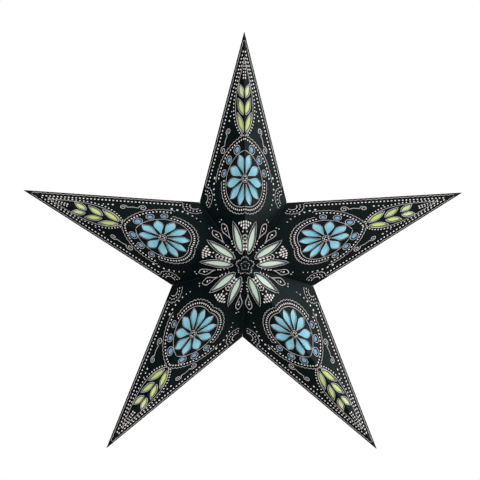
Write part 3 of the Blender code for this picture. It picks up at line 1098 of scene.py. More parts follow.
@dataclass(frozen=True)
class RoseRings(Motif):
    """Rings, beads and scallops about the rose, which step out round the pearls."""

    hub_ring: float = 0.0056
    hub_row: float = 0.0030
    hub_pitch: float = 0.0026
    hub_stop: float = 0.3
    ring_room: float = 0.0024
    pearl_room: float = 0.0018
    step_share: float = 0.45
    crowding: float = 0.9
    rose_band: RoseBand = RoseBand(bead_room=0.0040, line_room=0.0078, stops=(0.0, 0.05))
    pearl_band: RoseBand = RoseBand(bead_room=0.0042, line_room=0.0080, stops=(0.03, 0.08))
    scallop: Scallop = Scallop(pitch=0.0062, depth=0.0016)

    def draw(self) -> None:
        """Draws the lines round the windows, the hub, and the bands of the rose and of its pearls."""
        pen, layout = self.pen, self.pen.layout
        for blade in layout.rose():
            pen.ring(grown(blade.outline(), self.hairline / 2), self.hairline)
        pen.line(pen.rose_arc(self.hub_ring), self.fine)
        hub = pen.rose_arc(self.hub_row, self.hub_stop, math.pi - self.hub_stop)
        pen.beads(hub, self.hub_pitch, self.small_bead)
        ring = layout.rose_hub + layout.rose_length + self.ring_room
        rim = layout.pearl_arc + layout.pearl_radii[0]
        step = layout.pearl_angle + layout.pearl_pitch * (layout.pearls - self.step_share)
        pen.line(pen.rose_arc(ring), self.fine)
        for band, radius, first, last in (
            (self.rose_band, ring, step, math.pi),
            (self.pearl_band, rim, 0.0, step),
        ):
            beads = pen.rose_arc(radius + band.bead_room, first + band.stops[0], last - band.stops[1])
            pen.beads(beads, self.bead_pitch * self.crowding, self.bead)
            outer = pen.rose_arc(radius + band.line_room, first, last)
            pen.line(self.scallop.along(outer[::-1]), self.fine)
        for centre, radius in layout.pearl_discs():
            pen.ring(circle(centre, radius + self.pearl_room), self.fine)


@dataclass(frozen=True)
class PetalSprays(Motif):
    """Lines about the petal, and a spray of beads on each side of it."""

    ring_room: float = 0.0029
    bearings: Span = (0.13, 0.87)
    starts: Span = (0.0340, 0.0300)
    pitch: float = 0.0062
    count: int = 3
    radii: Span = (0.0009, 0.0013)

    def draw(self) -> None:
        """Draws the two lines and the two sprays."""
        pen = self.pen
        outline = pen.layout.petal().outline()
        pen.ring(grown(outline, self.hairline / 2), self.hairline)
        ring = grown(outline, self.ring_room)
        for run in pen.clipped([*ring, ring[0]], 0.0):
            pen.line(run, self.fine)
        for bearing, start in zip(self.bearings, self.starts):
            turn = pen.layout.sweep * bearing
            places = [polar(turn, start + self.pitch * number) for number in range(self.count)]
            pen.bead_run(places, self.radii)


@dataclass(frozen=True)
class BeadCluster(Motif):
    """A wedge of beads on the ridge between the petals and the rose, and a row from the apex to it."""

    start: float = 0.0505
    pitch: float = 0.0045
    closeness: float = 0.92
    rows: int = 3
    radius: float = 0.0019
    dwindle: float = 0.07
    run_start: float = 0.0225
    run_pitch: float = 0.0046
    run_count: int = 5
    run_radii: Span = (0.0019, 0.0009)

    def draw(self) -> None:
        """Draws the wedge and the row."""
        pen = self.pen
        for row in range(self.rows):
            for number in range(row + 1):
                off = self.radius + pen.ridge_gap + self.pitch * number
                place = Vector((self.start + self.pitch * self.closeness * row, off))
                pen.bead(place, self.radius * (1 - self.dwindle * row))
        pen.ridge_run(self.run_start, self.run_pitch, self.run_count, self.run_radii)


@dataclass(frozen=True)
class ValleyDrop(Motif):
    """A looped drop beside the valley, with beads in it and at both its ends."""

    bearing: float = 0.845
    start: float = 0.0500
    lean: float = 0.02
    length: float = 0.0300
    width: float = 0.0096
    fullness: float = 1.8
    large_bead: float = 0.0016
    bead_places: Triple = (0.0700, 0.0655, 0.0462)
    fork_place: float = 0.0820
    fork_reach: float = 0.0036
    fork_angle: float = 0.55

    def draw(self) -> None:
        """Draws the drop, its beads, and the two beads past its outer end."""
        pen = self.pen
        turn = pen.layout.sweep * self.bearing
        drop = Blade(polar(turn, self.start), turn + self.lean, self.length, self.width, self.fullness)
        pen.ring(drop.outline(), self.bold)
        for place, radius in zip(self.bead_places, (self.large_bead, self.small_bead, self.bead)):
            pen.bead(polar(turn, place), radius)
        for sway in (-self.fork_angle, self.fork_angle):
            pen.bead(polar(turn, self.fork_place) + polar(turn + sway, self.fork_reach), self.small_bead)


@dataclass(frozen=True)
class LeafArches(Motif):
    """A line round each leaf, and half a pointed arch of line and one of beads about them all."""

    leaf_room: float = 0.0011
    overhang: float = 0.0340
    line_lead: float = 0.0070
    line_height: float = 0.0178
    bead_lead: float = 0.0100
    bead_overhang: float = 0.0410
    bead_height: float = 0.0216
    bead_radius: float = 0.0011
    bead_skip: int = 2
    fullness: float = 0.75
    steps: int = 40

    def arch(self, lead: float, overhang: float, height: float) -> Path:
        """Half a pointed arch that stands on the ridge.

        Args:
            lead: How far before the first leaf it starts.
            overhang: How much longer it is than the row of leaves.
            height: Its greatest distance from the ridge.

        Returns:
            The path, kept off the ridge.
        """
        layout, edge = self.pen.layout, self.pen.edge
        start = layout.leaf_place - lead
        length = layout.leaf_pitch * layout.leaves + overhang
        shares = [index / self.steps for index in range(self.steps + 1)]
        rises = [height * math.sin(math.pi * share**self.fullness) for share in shares]
        return [Vector((start + length * share, max(rise, edge))) for share, rise in zip(shares, rises)]

    def draw(self) -> None:
        """Draws the lines round the leaves and both arches."""
        pen = self.pen
        for blade in pen.layout.leaf_blades():
            pen.ring(grown(blade.outline(), self.leaf_room), self.fine)
        pen.line(self.arch(self.line_lead, self.overhang, self.line_height), self.fine)
        beads = self.arch(self.bead_lead, self.bead_overhang, self.bead_height)
        pen.beads(beads[self.bead_skip:-1], self.bead_pitch, self.bead_radius)


@dataclass(frozen=True)
class TipBeads(Motif):
    """Beads that dwindle along the ridge past the leaves."""

    start: float = 0.2520
    pitch: float = 0.0040
    count: int = 6
    radii: Span = (0.0013, 0.0007)

    def draw(self) -> None:
        """Draws the row."""
        self.pen.ridge_run(self.start, self.pitch, self.count, self.radii)


@dataclass(frozen=True)
class Spiral:
    """A spiral that winds in from its radius; negative turns wind clockwise."""

    centre: Span
    radius: float
    start: float
    turns: float
    steps_a_turn: int = 26
    shrink: float = 0.84

    def path(self) -> Path:
        """The spiral's points.

        Returns:
            The path, from the outside in.
        """
        count = round(self.steps_a_turn * abs(self.turns))
        shares = [index / count for index in range(count + 1)]
        return [
            Vector(self.centre)
            + polar(self.start + math.tau * self.turns * share, self.radius * (1 - self.shrink * share))
            for share in shares
        ]


@dataclass(frozen=True)
class TwinScrolls(Motif):
    """Two scrolls on one stem between the rose and the leaves, with beads beside them."""

    lower: Spiral = Spiral(centre=(0.1640, 0.0425), radius=0.0056, start=-0.5, turns=1.5)
    upper: Spiral = Spiral(centre=(0.1868, 0.0320), radius=0.0050, start=2.7, turns=-1.5)
    sway: Span = (0.0006, 0.0012)
    arc_radius: float = 0.0612
    arc_span: Span = (math.radians(76), math.radians(118))
    arc_count: int = 7
    arc_radii: Span = (0.0017, 0.0008)
    row_start: Span = (0.2010, 0.0300)
    row_step: Span = (0.0056, -0.0024)
    row_count: int = 3
    row_radii: Span = (0.0014, 0.0009)

    def draw(self) -> None:
        """Draws the scrolls, their stem, an arc of beads and a short row of beads."""
        pen = self.pen
        paths = [self.lower.path(), self.upper.path()]
        for path in paths:
            pen.line(path, self.bold)
        begin, finish = (path[0] for path in paths)
        pen.line([begin, (begin + finish) / 2 + Vector(self.sway), finish], self.bold)
        beads = arc(pen.layout.rose_centre, self.arc_radius, *self.arc_span, self.arc_count)
        pen.bead_run(beads, self.arc_radii)
        row = [Vector(self.row_start) + Vector(self.row_step) * number for number in range(self.row_count)]
        pen.bead_run(row, self.row_radii)


@dataclass(frozen=True)
class ApexRings(Motif):
    """A small ring and a scalloped one about the apex."""

    ring: float = 0.0062
    outer_ring: float = 0.0112
    bumps: int = 2
    bump_depth: float = 0.0022
    points: int = 15

    def draw(self) -> None:
        """Draws both rings from edge to edge of the facet."""
        pen = self.pen
        for radius in (self.ring, self.outer_ring):
            clear = math.asin(pen.edge / radius)
            path = arc(Vector((0, 0)), radius, clear, pen.layout.sweep - clear, self.points)
            if radius == self.outer_ring:
                pitch = (pen.layout.sweep - 2 * clear) * radius / self.bumps
                path = Scallop(pitch, self.bump_depth).along(path[::-1])
            pen.line(path, self.fine)


@dataclass(frozen=True)
class Ornament:
    """The print of a facet: its motifs, and a teal band of painted glow round each window."""

    layout: FacetLayout
    slit: float
    lines: LineTree
    beads: BeadTree
    inks: dict[PrintLayer, Material]
    height: float = 0.00004
    # The margin is the width of the teal band of painted glow round each window.
    margin: float = 0.0024
    margin_height: float = 0.00001
    margin_thickness: float = 0.00003
    motifs: tuple[type[Motif], ...] = (
        Border, CornerArcs, RoseRings, PetalSprays, BeadCluster, ValleyDrop, LeafArches, TipBeads,
        TwinScrolls, ApexRings,
    )

    def painted_glow_rings(self, pen: Pen) -> list[Path]:
        """The middle lines of the bands of painted glow round the windows.

        Args:
            pen: The facet's pen.

        Returns:
            A closed path for each window.
        """
        clear = self.margin / 2 - pen.edge / 2
        rings = []
        for window in self.layout.windows():
            ring = [pen.off_ridge(place, clear) for place in grown(window, self.margin / 2)]
            rings.append([*ring, ring[0]])
        return rings

    def mesh(self) -> Mesh:
        """Prints the ornament.

        Returns:
            The ornament's mesh, in the flat frame.
        """
        pen = Pen(self.layout, self.slit)
        for motif in self.motifs:
            motif(pen).draw()
        jobs = [
            (self.lines, PrintLayer.LINE, paths, self.height, {"width": width})
            for width, paths in sorted(pen.strokes.items())
        ]
        jobs += [
            (self.beads, PrintLayer.BEAD, paths, self.height, {"pitch": pitch, "radius": radius})
            for (pitch, radius), paths in sorted(pen.rows.items())
        ]
        # The teal band round each window is painted glow, laid on the card like a print.
        margin = {"width": self.margin, "thickness": self.margin_thickness}
        jobs.append((self.lines, PrintLayer.HALO, self.painted_glow_rings(pen), self.margin_height, margin))
        made = [
            (tree.run(paths, height, ink=self.inks[layer], **sizes), layer.value)
            for tree, layer, paths, height, sizes in jobs
        ]
        return joined(made)


@dataclass
class CreaseStrip:
    """A strip of black card on the inner side of a crease, glued to the two facets that meet there.

    Its sides are the facets that have a wing of it. It ends at the crease on the other side.
    """

    first: Facet
    second: Facet
    start: Vector
    end: Vector
    sides: tuple[Facet, ...] = ()
    start_gap: float = 0.0015
    end_gap: float = 0.0015
    wing: float = 0.0020
    taper: float = 0.16
    depths: Span = (0.00045, 0.00060)
    stations: int = 12
    bend_share: float = 0.25

    def __post_init__(self) -> None:
        """Gives both facets a wing unless the sides are told, and works out the crease's directions."""
        self.facets = (self.first, self.second)
        self.sides = self.sides or self.facets
        self.along = (self.end - self.start).normalized()
        self.fold = (self.first.normal + self.second.normal).normalized()

    def across(self) -> Vector:
        """Unit direction across the crease, from the first facet to the second."""
        direction = self.fold.cross(self.end - self.start).normalized()
        return direction if direction.dot(self.second.middle - self.start) > 0 else -direction

    def section(self, place: Vector, wing: float) -> list[Vector]:
        """The closed cross-section at a place on the crease.

        Args:
            place: The place.
            wing: The wing's width there.

        Returns:
            The corners, round the section.
        """
        loop = []
        for depth, order in zip(self.depths, (1, -1)):
            corner = place - self.fold * (depth / self.fold.dot(self.first.normal))
            row = []
            for facet in self.facets:
                across = facet.normal.cross(self.along)
                across = across if across.dot(facet.middle - place) > 0 else -across
                outer = place + across * wing - facet.normal * depth
                row.append(outer if facet in self.sides else corner)
            loop += [row[0], corner, row[1]][::order]
        return [spot for index, spot in enumerate(loop) if (spot - loop[index - 1]).length > WELD]

    def mesh(self) -> Mesh:
        """Lofts the strip along its crease.

        Returns:
            The closed mesh.
        """
        first = self.start + self.along * self.start_gap
        last = self.end - self.along * self.end_gap
        mesh = bpy.data.meshes.new("strip")
        with reworked(mesh) as work:
            rings = []
            for index in range(self.stations):
                place = first.lerp(last, (1 - math.cos(math.pi * index / (self.stations - 1))) / 2)
                room = min((place - self.start).length, (place - self.end).length)
                corners = self.section(place, min(self.wing, room * self.taper))
                rings.append([work.verts.new(corner) for corner in corners])
            for before, after in zip(rings, rings[1:]):
                for index, corner in enumerate(before):
                    following = (index + 1) % len(before)
                    work.faces.new((corner, before[following], after[following], after[index]))
            work.faces.new(rings[0])
            work.faces.new(rings[-1])
        return mesh

    def place(self, name: str, material: Material) -> None:
        """Makes the strip in its place and logs the two bodies that it lies between.

        Args:
            name: The piece's name.
            material: Its material.
        """
        item = placed(name, self.mesh(), material)
        bodies = [facet.stem if facet in self.sides else "root" for facet in self.facets]
        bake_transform(item)
        LOG.info("%s joins %s and %s", name, *bodies)


@dataclass(frozen=True)
class StarFinishes:
    """The finishes of the folded card, its window papers and its inks."""

    layout: FacetLayout

    def card(self) -> Material:
        """The printed black card.

        Returns:
            Its material.
        """
        return CardStock(
            "black_printed_card", tone=(0.0002, 0.0020, 0.0024), second_tone=(0.0003, 0.0032, 0.0038),
            mottle=14.0, grain=2600.0, relief=0.00003, roughness=(0.26, 0.36), specular=0.020,
            tint=(0.2, 1.0, 1.0), edges=self.layout.edge_lines(),
        ).build()

    def papers(self) -> dict[WindowKind, Material]:
        """The window papers.

        Returns:
            The material of each kind of window.
        """
        rose = (self.layout.rose_place, 0.0)
        leaf = (self.layout.leaf_place, 0.0)
        papers = {
            WindowKind.PETAL: WindowPaper(
                "pale_green_paper", tone=(0.70, 0.95, 0.72), second_tone=(0.78, 0.97, 0.80),
                far_tone=(0.82, 0.98, 0.84), fade_reach=(0.02, 0.065),
            ),
            WindowKind.ROSE: WindowPaper(
                "turquoise_paper", tone=(0.14, 0.57, 0.77), second_tone=(0.25, 0.69, 0.86),
                far_tone=(0.50, 0.83, 0.97), fade_centre=rose, fade_reach=(0.008, 0.036),
            ),
            WindowKind.PEARL: WindowPaper(
                "blue_paper", tone=(0.18, 0.44, 0.74), second_tone=(0.22, 0.48, 0.76),
                far_tone=(0.26, 0.52, 0.80), fade_centre=rose, fade_reach=(0.04, 0.05),
            ),
            WindowKind.LEAF: WindowPaper(
                "lime_paper", tone=(0.63, 0.77, 0.18), second_tone=(0.70, 0.83, 0.27),
                far_tone=(0.84, 0.93, 0.56), fade_centre=leaf, fade_reach=(0.0, 0.075),
            ),
        }
        return {kind: paper.build() for kind, paper in papers.items()}

    def inks(self) -> dict[PrintLayer, Material]:
        """The inks.

        Returns:
            The material of each layer of the print.
        """
        inks = {
            PrintLayer.LINE: Finish(
                "lilac_grey_ink", tone=(0.55, 0.48, 0.49), second_tone=(0.78, 0.70, 0.70),
                mottle=160.0, grain=1500.0,
            ),
            PrintLayer.BEAD: Finish(
                "pearl_ink", tone=(0.90, 0.81, 0.77), second_tone=(0.96, 0.91, 0.88),
                mottle=220.0, grain=1500.0, roughness=(0.4, 0.5),
            ),
            # Teal finish of the bands round the windows: painted glow of light through them.
            PrintLayer.HALO: Finish(
                "deep_teal_ink", tone=(0.003, 0.022, 0.027), second_tone=(0.005, 0.036, 0.042),
                mottle=60.0, grain=2600.0, relief=0.00002, roughness=(0.4, 0.5), specular=0.014,
                tint=(0.45, 1.0, 1.0),
            ),
        }
        return {layer: ink.build() for layer, ink in inks.items()}


@dataclass(frozen=True)
class PaperPatches:
    """The coloured papers glued behind one facet's windows, side by side."""

    shape: StarShape
    layout: FacetLayout
    cutter: SheetCutter
    slit: float
    margin: float = 0.0024
    ridge_room: float = 0.0012
    paper_gap: float = 0.0004
    rose_points: int = 40
    pearl_margin: float = 0.0068
    pearl_start: float = 0.075
    pearl_points: int = 20
    leaf_span: Span = (0.1765, 0.2570)
    leaf_height: float = 0.0205
    leaf_end_shares: Span = (0.7, 0.62)
    leaf_cut: float = 0.012

    def outlines(self) -> dict[WindowKind, Path]:
        """The shapes of the papers.

        Returns:
            A closed outline for each kind of window.
        """
        layout, centre = self.layout, self.layout.rose_centre
        inner = layout.rose_hub + layout.rose_length + self.margin
        outer = layout.pearl_arc + self.pearl_margin
        last = layout.pearl_angle + layout.pearl_pitch * (layout.pearls - 0.5)
        band = arc(centre, outer, self.pearl_start, last, self.pearl_points)
        band += arc(centre, inner + self.paper_gap, last, self.pearl_start, self.pearl_points)
        begin, finish = self.leaf_span
        inner_end, outer_end = (self.leaf_height * share for share in self.leaf_end_shares)
        leaf = [(begin, 0), (finish, 0), (finish, outer_end), (begin + self.leaf_cut, self.leaf_height)]
        return {
            WindowKind.PETAL: grown(layout.petal().outline(), self.margin),
            WindowKind.ROSE: arc(centre, inner, 0.0, math.pi, self.rose_points),
            WindowKind.PEARL: band,
            WindowKind.LEAF: [Vector(corner) for corner in (*leaf, (begin, inner_end))],
        }

    def mesh(self) -> Mesh:
        """Cuts the papers, further off the ridge at its inner end by the slit.

        Returns:
            Their mesh, in the flat frame.
        """
        made = []
        for kind, outline in self.outlines().items():
            kept = []
            for place in outline:
                least = self.ridge_room + self.slit * (1 - place.x / self.layout.ridge_length)
                kept.append(Vector((place.x, max(place.y, least))))
            sheet = self.cutter.cut([kept], self.shape.liner, -self.shape.card - self.shape.gap)
            made.append((sheet, kind.value))
        mesh = joined(made)
        self.cutter.map_layout(mesh)
        return mesh


@dataclass
class StarBody:
    """The folded card of the star with its window papers and its print, facet by facet."""

    shape: StarShape = StarShape()
    cutter: SheetCutter = SheetCutter()
    slit_share: float = 0.76
    ball_room: float = 0.0140

    def __post_init__(self) -> None:
        """Makes the layout and the finishes."""
        self.layout = FacetLayout(self.shape)
        finishes = StarFinishes(self.layout)
        self.card, self.papers, self.inks = finishes.card(), finishes.papers(), finishes.inks()

    def facets(self) -> list[Facet]:
        """Every facet of the star.

        Returns:
            The facets, side by side, from the top point down, front before back.
        """
        return [
            Facet(self.shape, index, side, face)
            for side in Side
            for index in range(self.shape.points)
            for face in Face
        ]

    def card_sheet(self, face: Face) -> Mesh:
        """Cuts the card of one facet, with its windows.

        Args:
            face: The face of the star for whose creases it is mitred.

        Returns:
            The card's mesh, in the flat frame.
        """
        margin = -self.cutter.overrun
        outlines = [self.layout.outline(margin, margin, margin), *self.layout.windows()]
        mesh = self.cutter.cut(outlines, self.shape.card, 0.0)
        facet = Facet(self.shape, 0, Side.RIGHT, face)
        to_flat = facet.matrix.inverted()
        turn = to_flat.to_3x3()
        planes = [(to_flat @ place, turn @ normal) for place, normal in facet.mitres(self.shape.gap / 2)]
        self.cutter.trim(mesh, planes)
        self.cutter.map_layout(mesh)
        return mesh

    def copy_to(
        self, facet: Facet, master: Mesh, name: str, materials: Sequence[Material],
    ) -> bpy.types.Object:
        """Copies a flat-frame mesh onto a facet.

        Args:
            facet: Where it goes.
            master: The mesh in the flat frame.
            name: The piece's name.
            materials: Its materials, by index.

        Returns:
            The new object.
        """
        mesh = master.copy()
        mesh.transform(facet.matrix)
        if facet.matrix.is_negative:
            mesh.flip_normals()
        return placed(name, mesh, *materials)

    def build(self) -> None:
        """Makes every facet's card, papers and print."""
        slits = {Face.FRONT: 0.0, Face.BACK: self.shape.back_slit * self.slit_share}
        cards = {face: self.card_sheet(face) for face in Face}
        tools = (LineTree(), BeadTree(), self.inks)
        papers, prints = {}, {}
        for face, slit in slits.items():
            papers[face] = PaperPatches(self.shape, self.layout, self.cutter, slit).mesh()
            prints[face] = Ornament(self.layout, slit, *tools).mesh()
        window_papers = [self.papers[kind] for kind in WindowKind]
        inks = [self.inks[layer] for layer in PrintLayer]
        for facet in self.facets():
            card = self.copy_to(facet, cards[facet.face], facet.stem + "_card", [self.card])
            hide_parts(facet.stem + "_panel")
            paper = self.copy_to(facet, papers[facet.face], facet.stem + "_papers", window_papers)
            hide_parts(facet.stem + "_liner")
            ink = self.copy_to(facet, prints[facet.face], facet.stem + "_print", inks)
            for piece in (card, paper, ink):
                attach(piece, facet.stem)
                LOG.info("%s: %d faces", piece.name, len(piece.data.polygons))
        self.strips()

    def strips(self) -> None:
        """Closes the front creases and the rims from inside."""
        found = {(facet.index, facet.side, facet.face): facet for facet in self.facets()}
        for side in Side:
            chain = [found[index, side, Face.FRONT] for index in range(self.shape.points)]
            for facet, following in zip(chain, chain[1:]):
                end = facet.valley if facet.index % 2 == 0 else facet.tip
                room = self.ball_room if facet.index == 0 else CreaseStrip.start_gap
                strip = CreaseStrip(facet, following, facet.apex, end, start_gap=room)
                strip.place(facet.stem + "_crease", self.card)
            for facet in chain:
                back = found[facet.index, side, Face.BACK]
                strip = CreaseStrip(facet, back, facet.tip, facet.valley)
                strip.place(facet.stem + "_rim_crease", self.card)
        right, left = (found[0, side, Face.FRONT] for side in (Side.RIGHT, Side.LEFT))
        for facet in (right, left):
            strip = CreaseStrip(left, right, right.apex, right.tip, sides=(facet,))
            strip.place("top_crease_" + facet.side.name.lower(), self.card)


@dataclass(frozen=True)
class Relief:
    """A pattern sunk into one radius of a turned piece, fading out at its two ends."""

    radius: float
    low: float
    high: float
    depth: float
    fade: float = 0.001

    def wave(self, turn: float, height: float) -> float:
        """The pattern, from 1 on its crests to -1 in its grooves."""
        raise NotImplementedError

    def sink(self, radius: float, turn: float, height: float) -> float:
        """How far the surface lies back.

        Args:
            radius: The profile's radius at the place.
            turn: The angle round the axis.
            height: The height.

        Returns:
            The depth below the crests, nothing away from the pattern's own radius.
        """
        if abs(radius - self.radius) > WELD:
            return 0.0
        share = min(1.0, (self.high - height) / self.fade, (height - self.low) / self.fade)
        return max(0.0, share) * self.depth * (1 - self.wave(turn, height)) / 2


@dataclass(frozen=True)
class Thread(Relief):
    """A right-hand screw thread."""

    pitch: float = 0.0025
    rows_a_turn: int = 10

    def wave(self, turn: float, height: float) -> float:
        """A crest that climbs by one pitch a turn."""
        return math.cos(math.tau * (height - self.low) / self.pitch - turn)

    def rows(self) -> list[Span]:
        """The profile's points along the thread, from the top down."""
        count = math.ceil((self.high - self.low) / self.pitch * self.rows_a_turn) + 1
        return [(self.radius, spread(self.high, self.low, row, count)) for row in range(count)]


@dataclass(frozen=True)
class GripRibs(Relief):
    """Upright ribs for the fingers."""

    count: int = 24

    def wave(self, turn: float, height: float) -> float:
        """A crest on each rib."""
        return math.cos(turn * self.count)

    def rows(self) -> list[Span]:
        """The profile's points along the ribs, from the top down."""
        heights = (self.high, self.high - self.fade, self.low + self.fade, self.low)
        return [(self.radius, height) for height in heights]


@dataclass(frozen=True)
class Lathe:
    """Turns profiles of radius and height about an upright axis."""

    sides: int
    crease: float = math.radians(32)

    def turn(self, profile: Profile, closed: bool, reliefs: Sequence[Relief] = ()) -> Mesh:
        """Turns one profile.

        Args:
            profile: Radii and heights, open ones ending on the axis.
            closed: Whether the profile is a closed loop.
            reliefs: Threads and ribs sunk into the surface.

        Returns:
            The closed mesh, about the origin's upright axis.
        """
        mesh = bpy.data.meshes.new("turned")
        with reworked(mesh) as work:
            rings = []
            for radius, height in profile:
                ring = []
                for side in range(self.sides if radius >= WELD else 1):
                    turn = math.tau * side / self.sides
                    size = radius - sum(relief.sink(radius, turn, height) for relief in reliefs)
                    ring.append(work.verts.new((size * math.cos(turn), size * math.sin(turn), height)))
                rings.append(ring)
            pairs = list(zip(rings, rings[1:])) + ([(rings[-1], rings[0])] if closed else [])
            for lower, upper in pairs:
                for side in range(self.sides):
                    # A ring on the axis is one corner, so the faces beside it are triangles.
                    following = (side + 1) % self.sides
                    corners = [lower[side % len(lower)], lower[following % len(lower)]]
                    corners += [upper[following % len(upper)], upper[side % len(upper)]]
                    work.faces.new(dict.fromkeys(corners))
        mesh.polygons.foreach_set("use_smooth", [True] * len(mesh.polygons))
        mesh.set_sharp_from_angle(angle=self.crease)
        return mesh


def rounded(profile: Profile, radius: float, closed: bool, steps: int = 4, most: float = 0.45) -> list[Span]:
    """Rounds the corners of a profile.

    Args:
        profile: Radii and heights.
        radius: How far from a corner its round begins.
        closed: Whether the profile is a loop; an open one keeps its two ends.
        steps: Straight pieces in a round.
        most: Greatest share of a side that a round takes.

    Returns:
        The rounded profile.
    """
    result = []
    count = len(profile)
    for index, corner in enumerate(profile):
        if not closed and index in (0, count - 1):
            result.append(corner)
            continue
        here = Vector(corner)
        before = Vector(profile[index - 1]) - here
        after = Vector(profile[(index + 1) % count]) - here
        reach = min(radius, before.length * most, after.length * most)
        start, end = here + before.normalized() * reach, here + after.normalized() * reach
        for step in range(steps + 1):
            share = step / steps
            result.append(tuple(start.lerp(here, share).lerp(here.lerp(end, share), share)))
    return result


def oval(centre: Span, size: Span, first: float, last: float, count: int) -> list[Span]:
    """Points on an upright oval, from one angle to another, both measured from straight up."""
    turns = [spread(first, last, index, count) for index in range(count)]
    return [(centre[0] + size[0] * math.sin(turn), centre[1] + size[1] * math.cos(turn)) for turn in turns]


@dataclass
class Fitting:
    """What the inner sub-assemblies share: how a piece takes a node's place or gets a finish."""

    nodes: dict[str, bpy.types.Object]

    def add(self, node: str, mesh: Mesh, slot: str, *materials: Material) -> None:
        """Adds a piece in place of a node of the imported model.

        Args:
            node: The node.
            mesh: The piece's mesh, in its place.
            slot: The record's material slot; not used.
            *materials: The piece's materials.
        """
        item = placed(node + "_look", mesh, *materials)
        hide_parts(node)
        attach(item, "root")
        LOG.info("%s: %d faces", item.name, len(mesh.polygons))

    def dress(self, start: str, finish: Finish) -> None:
        """Gives nodes a finish and leaves their shape.

        Args:
            start: How their names begin.
            finish: The finish.
        """
        material = finish.build()
        for name, node in self.nodes.items():
            if name.startswith(start):
                node.data.materials[0] = material
                LOG.info("%s: %s", name, material.name)

    def box(self, node: str) -> tuple[Vector, Vector]:
        """The middle of a node's box, and half its size."""
        low, high = (Vector(corner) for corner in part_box(node))
        return (low + high) / 2, (high - low) / 2

    def measure(self, node: str) -> Triple:
        """Radius, lowest height and highest height of an upright turned node."""
        low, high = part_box(node)
        return (high[0] - low[0]) / 2, low[2], high[2]

    def add_upright(self, node: str, mesh: Mesh, slot: str, *materials: Material) -> None:
        """Adds a piece that was turned at its own heights, on the middle axis of its node."""
        mesh.transform(Matrix.Translation(self.box(node)[0] * Vector((1, 1, 0))))
        self.add(node, mesh, slot, *materials)


ROLLED_BRASS = Finish(
    "rolled_brass", tone=(0.62, 0.46, 0.20), second_tone=(0.74, 0.58, 0.30),
    mottle=300.0, grain=900.0, roughness=(0.22, 0.38), metallic=1.0,
)


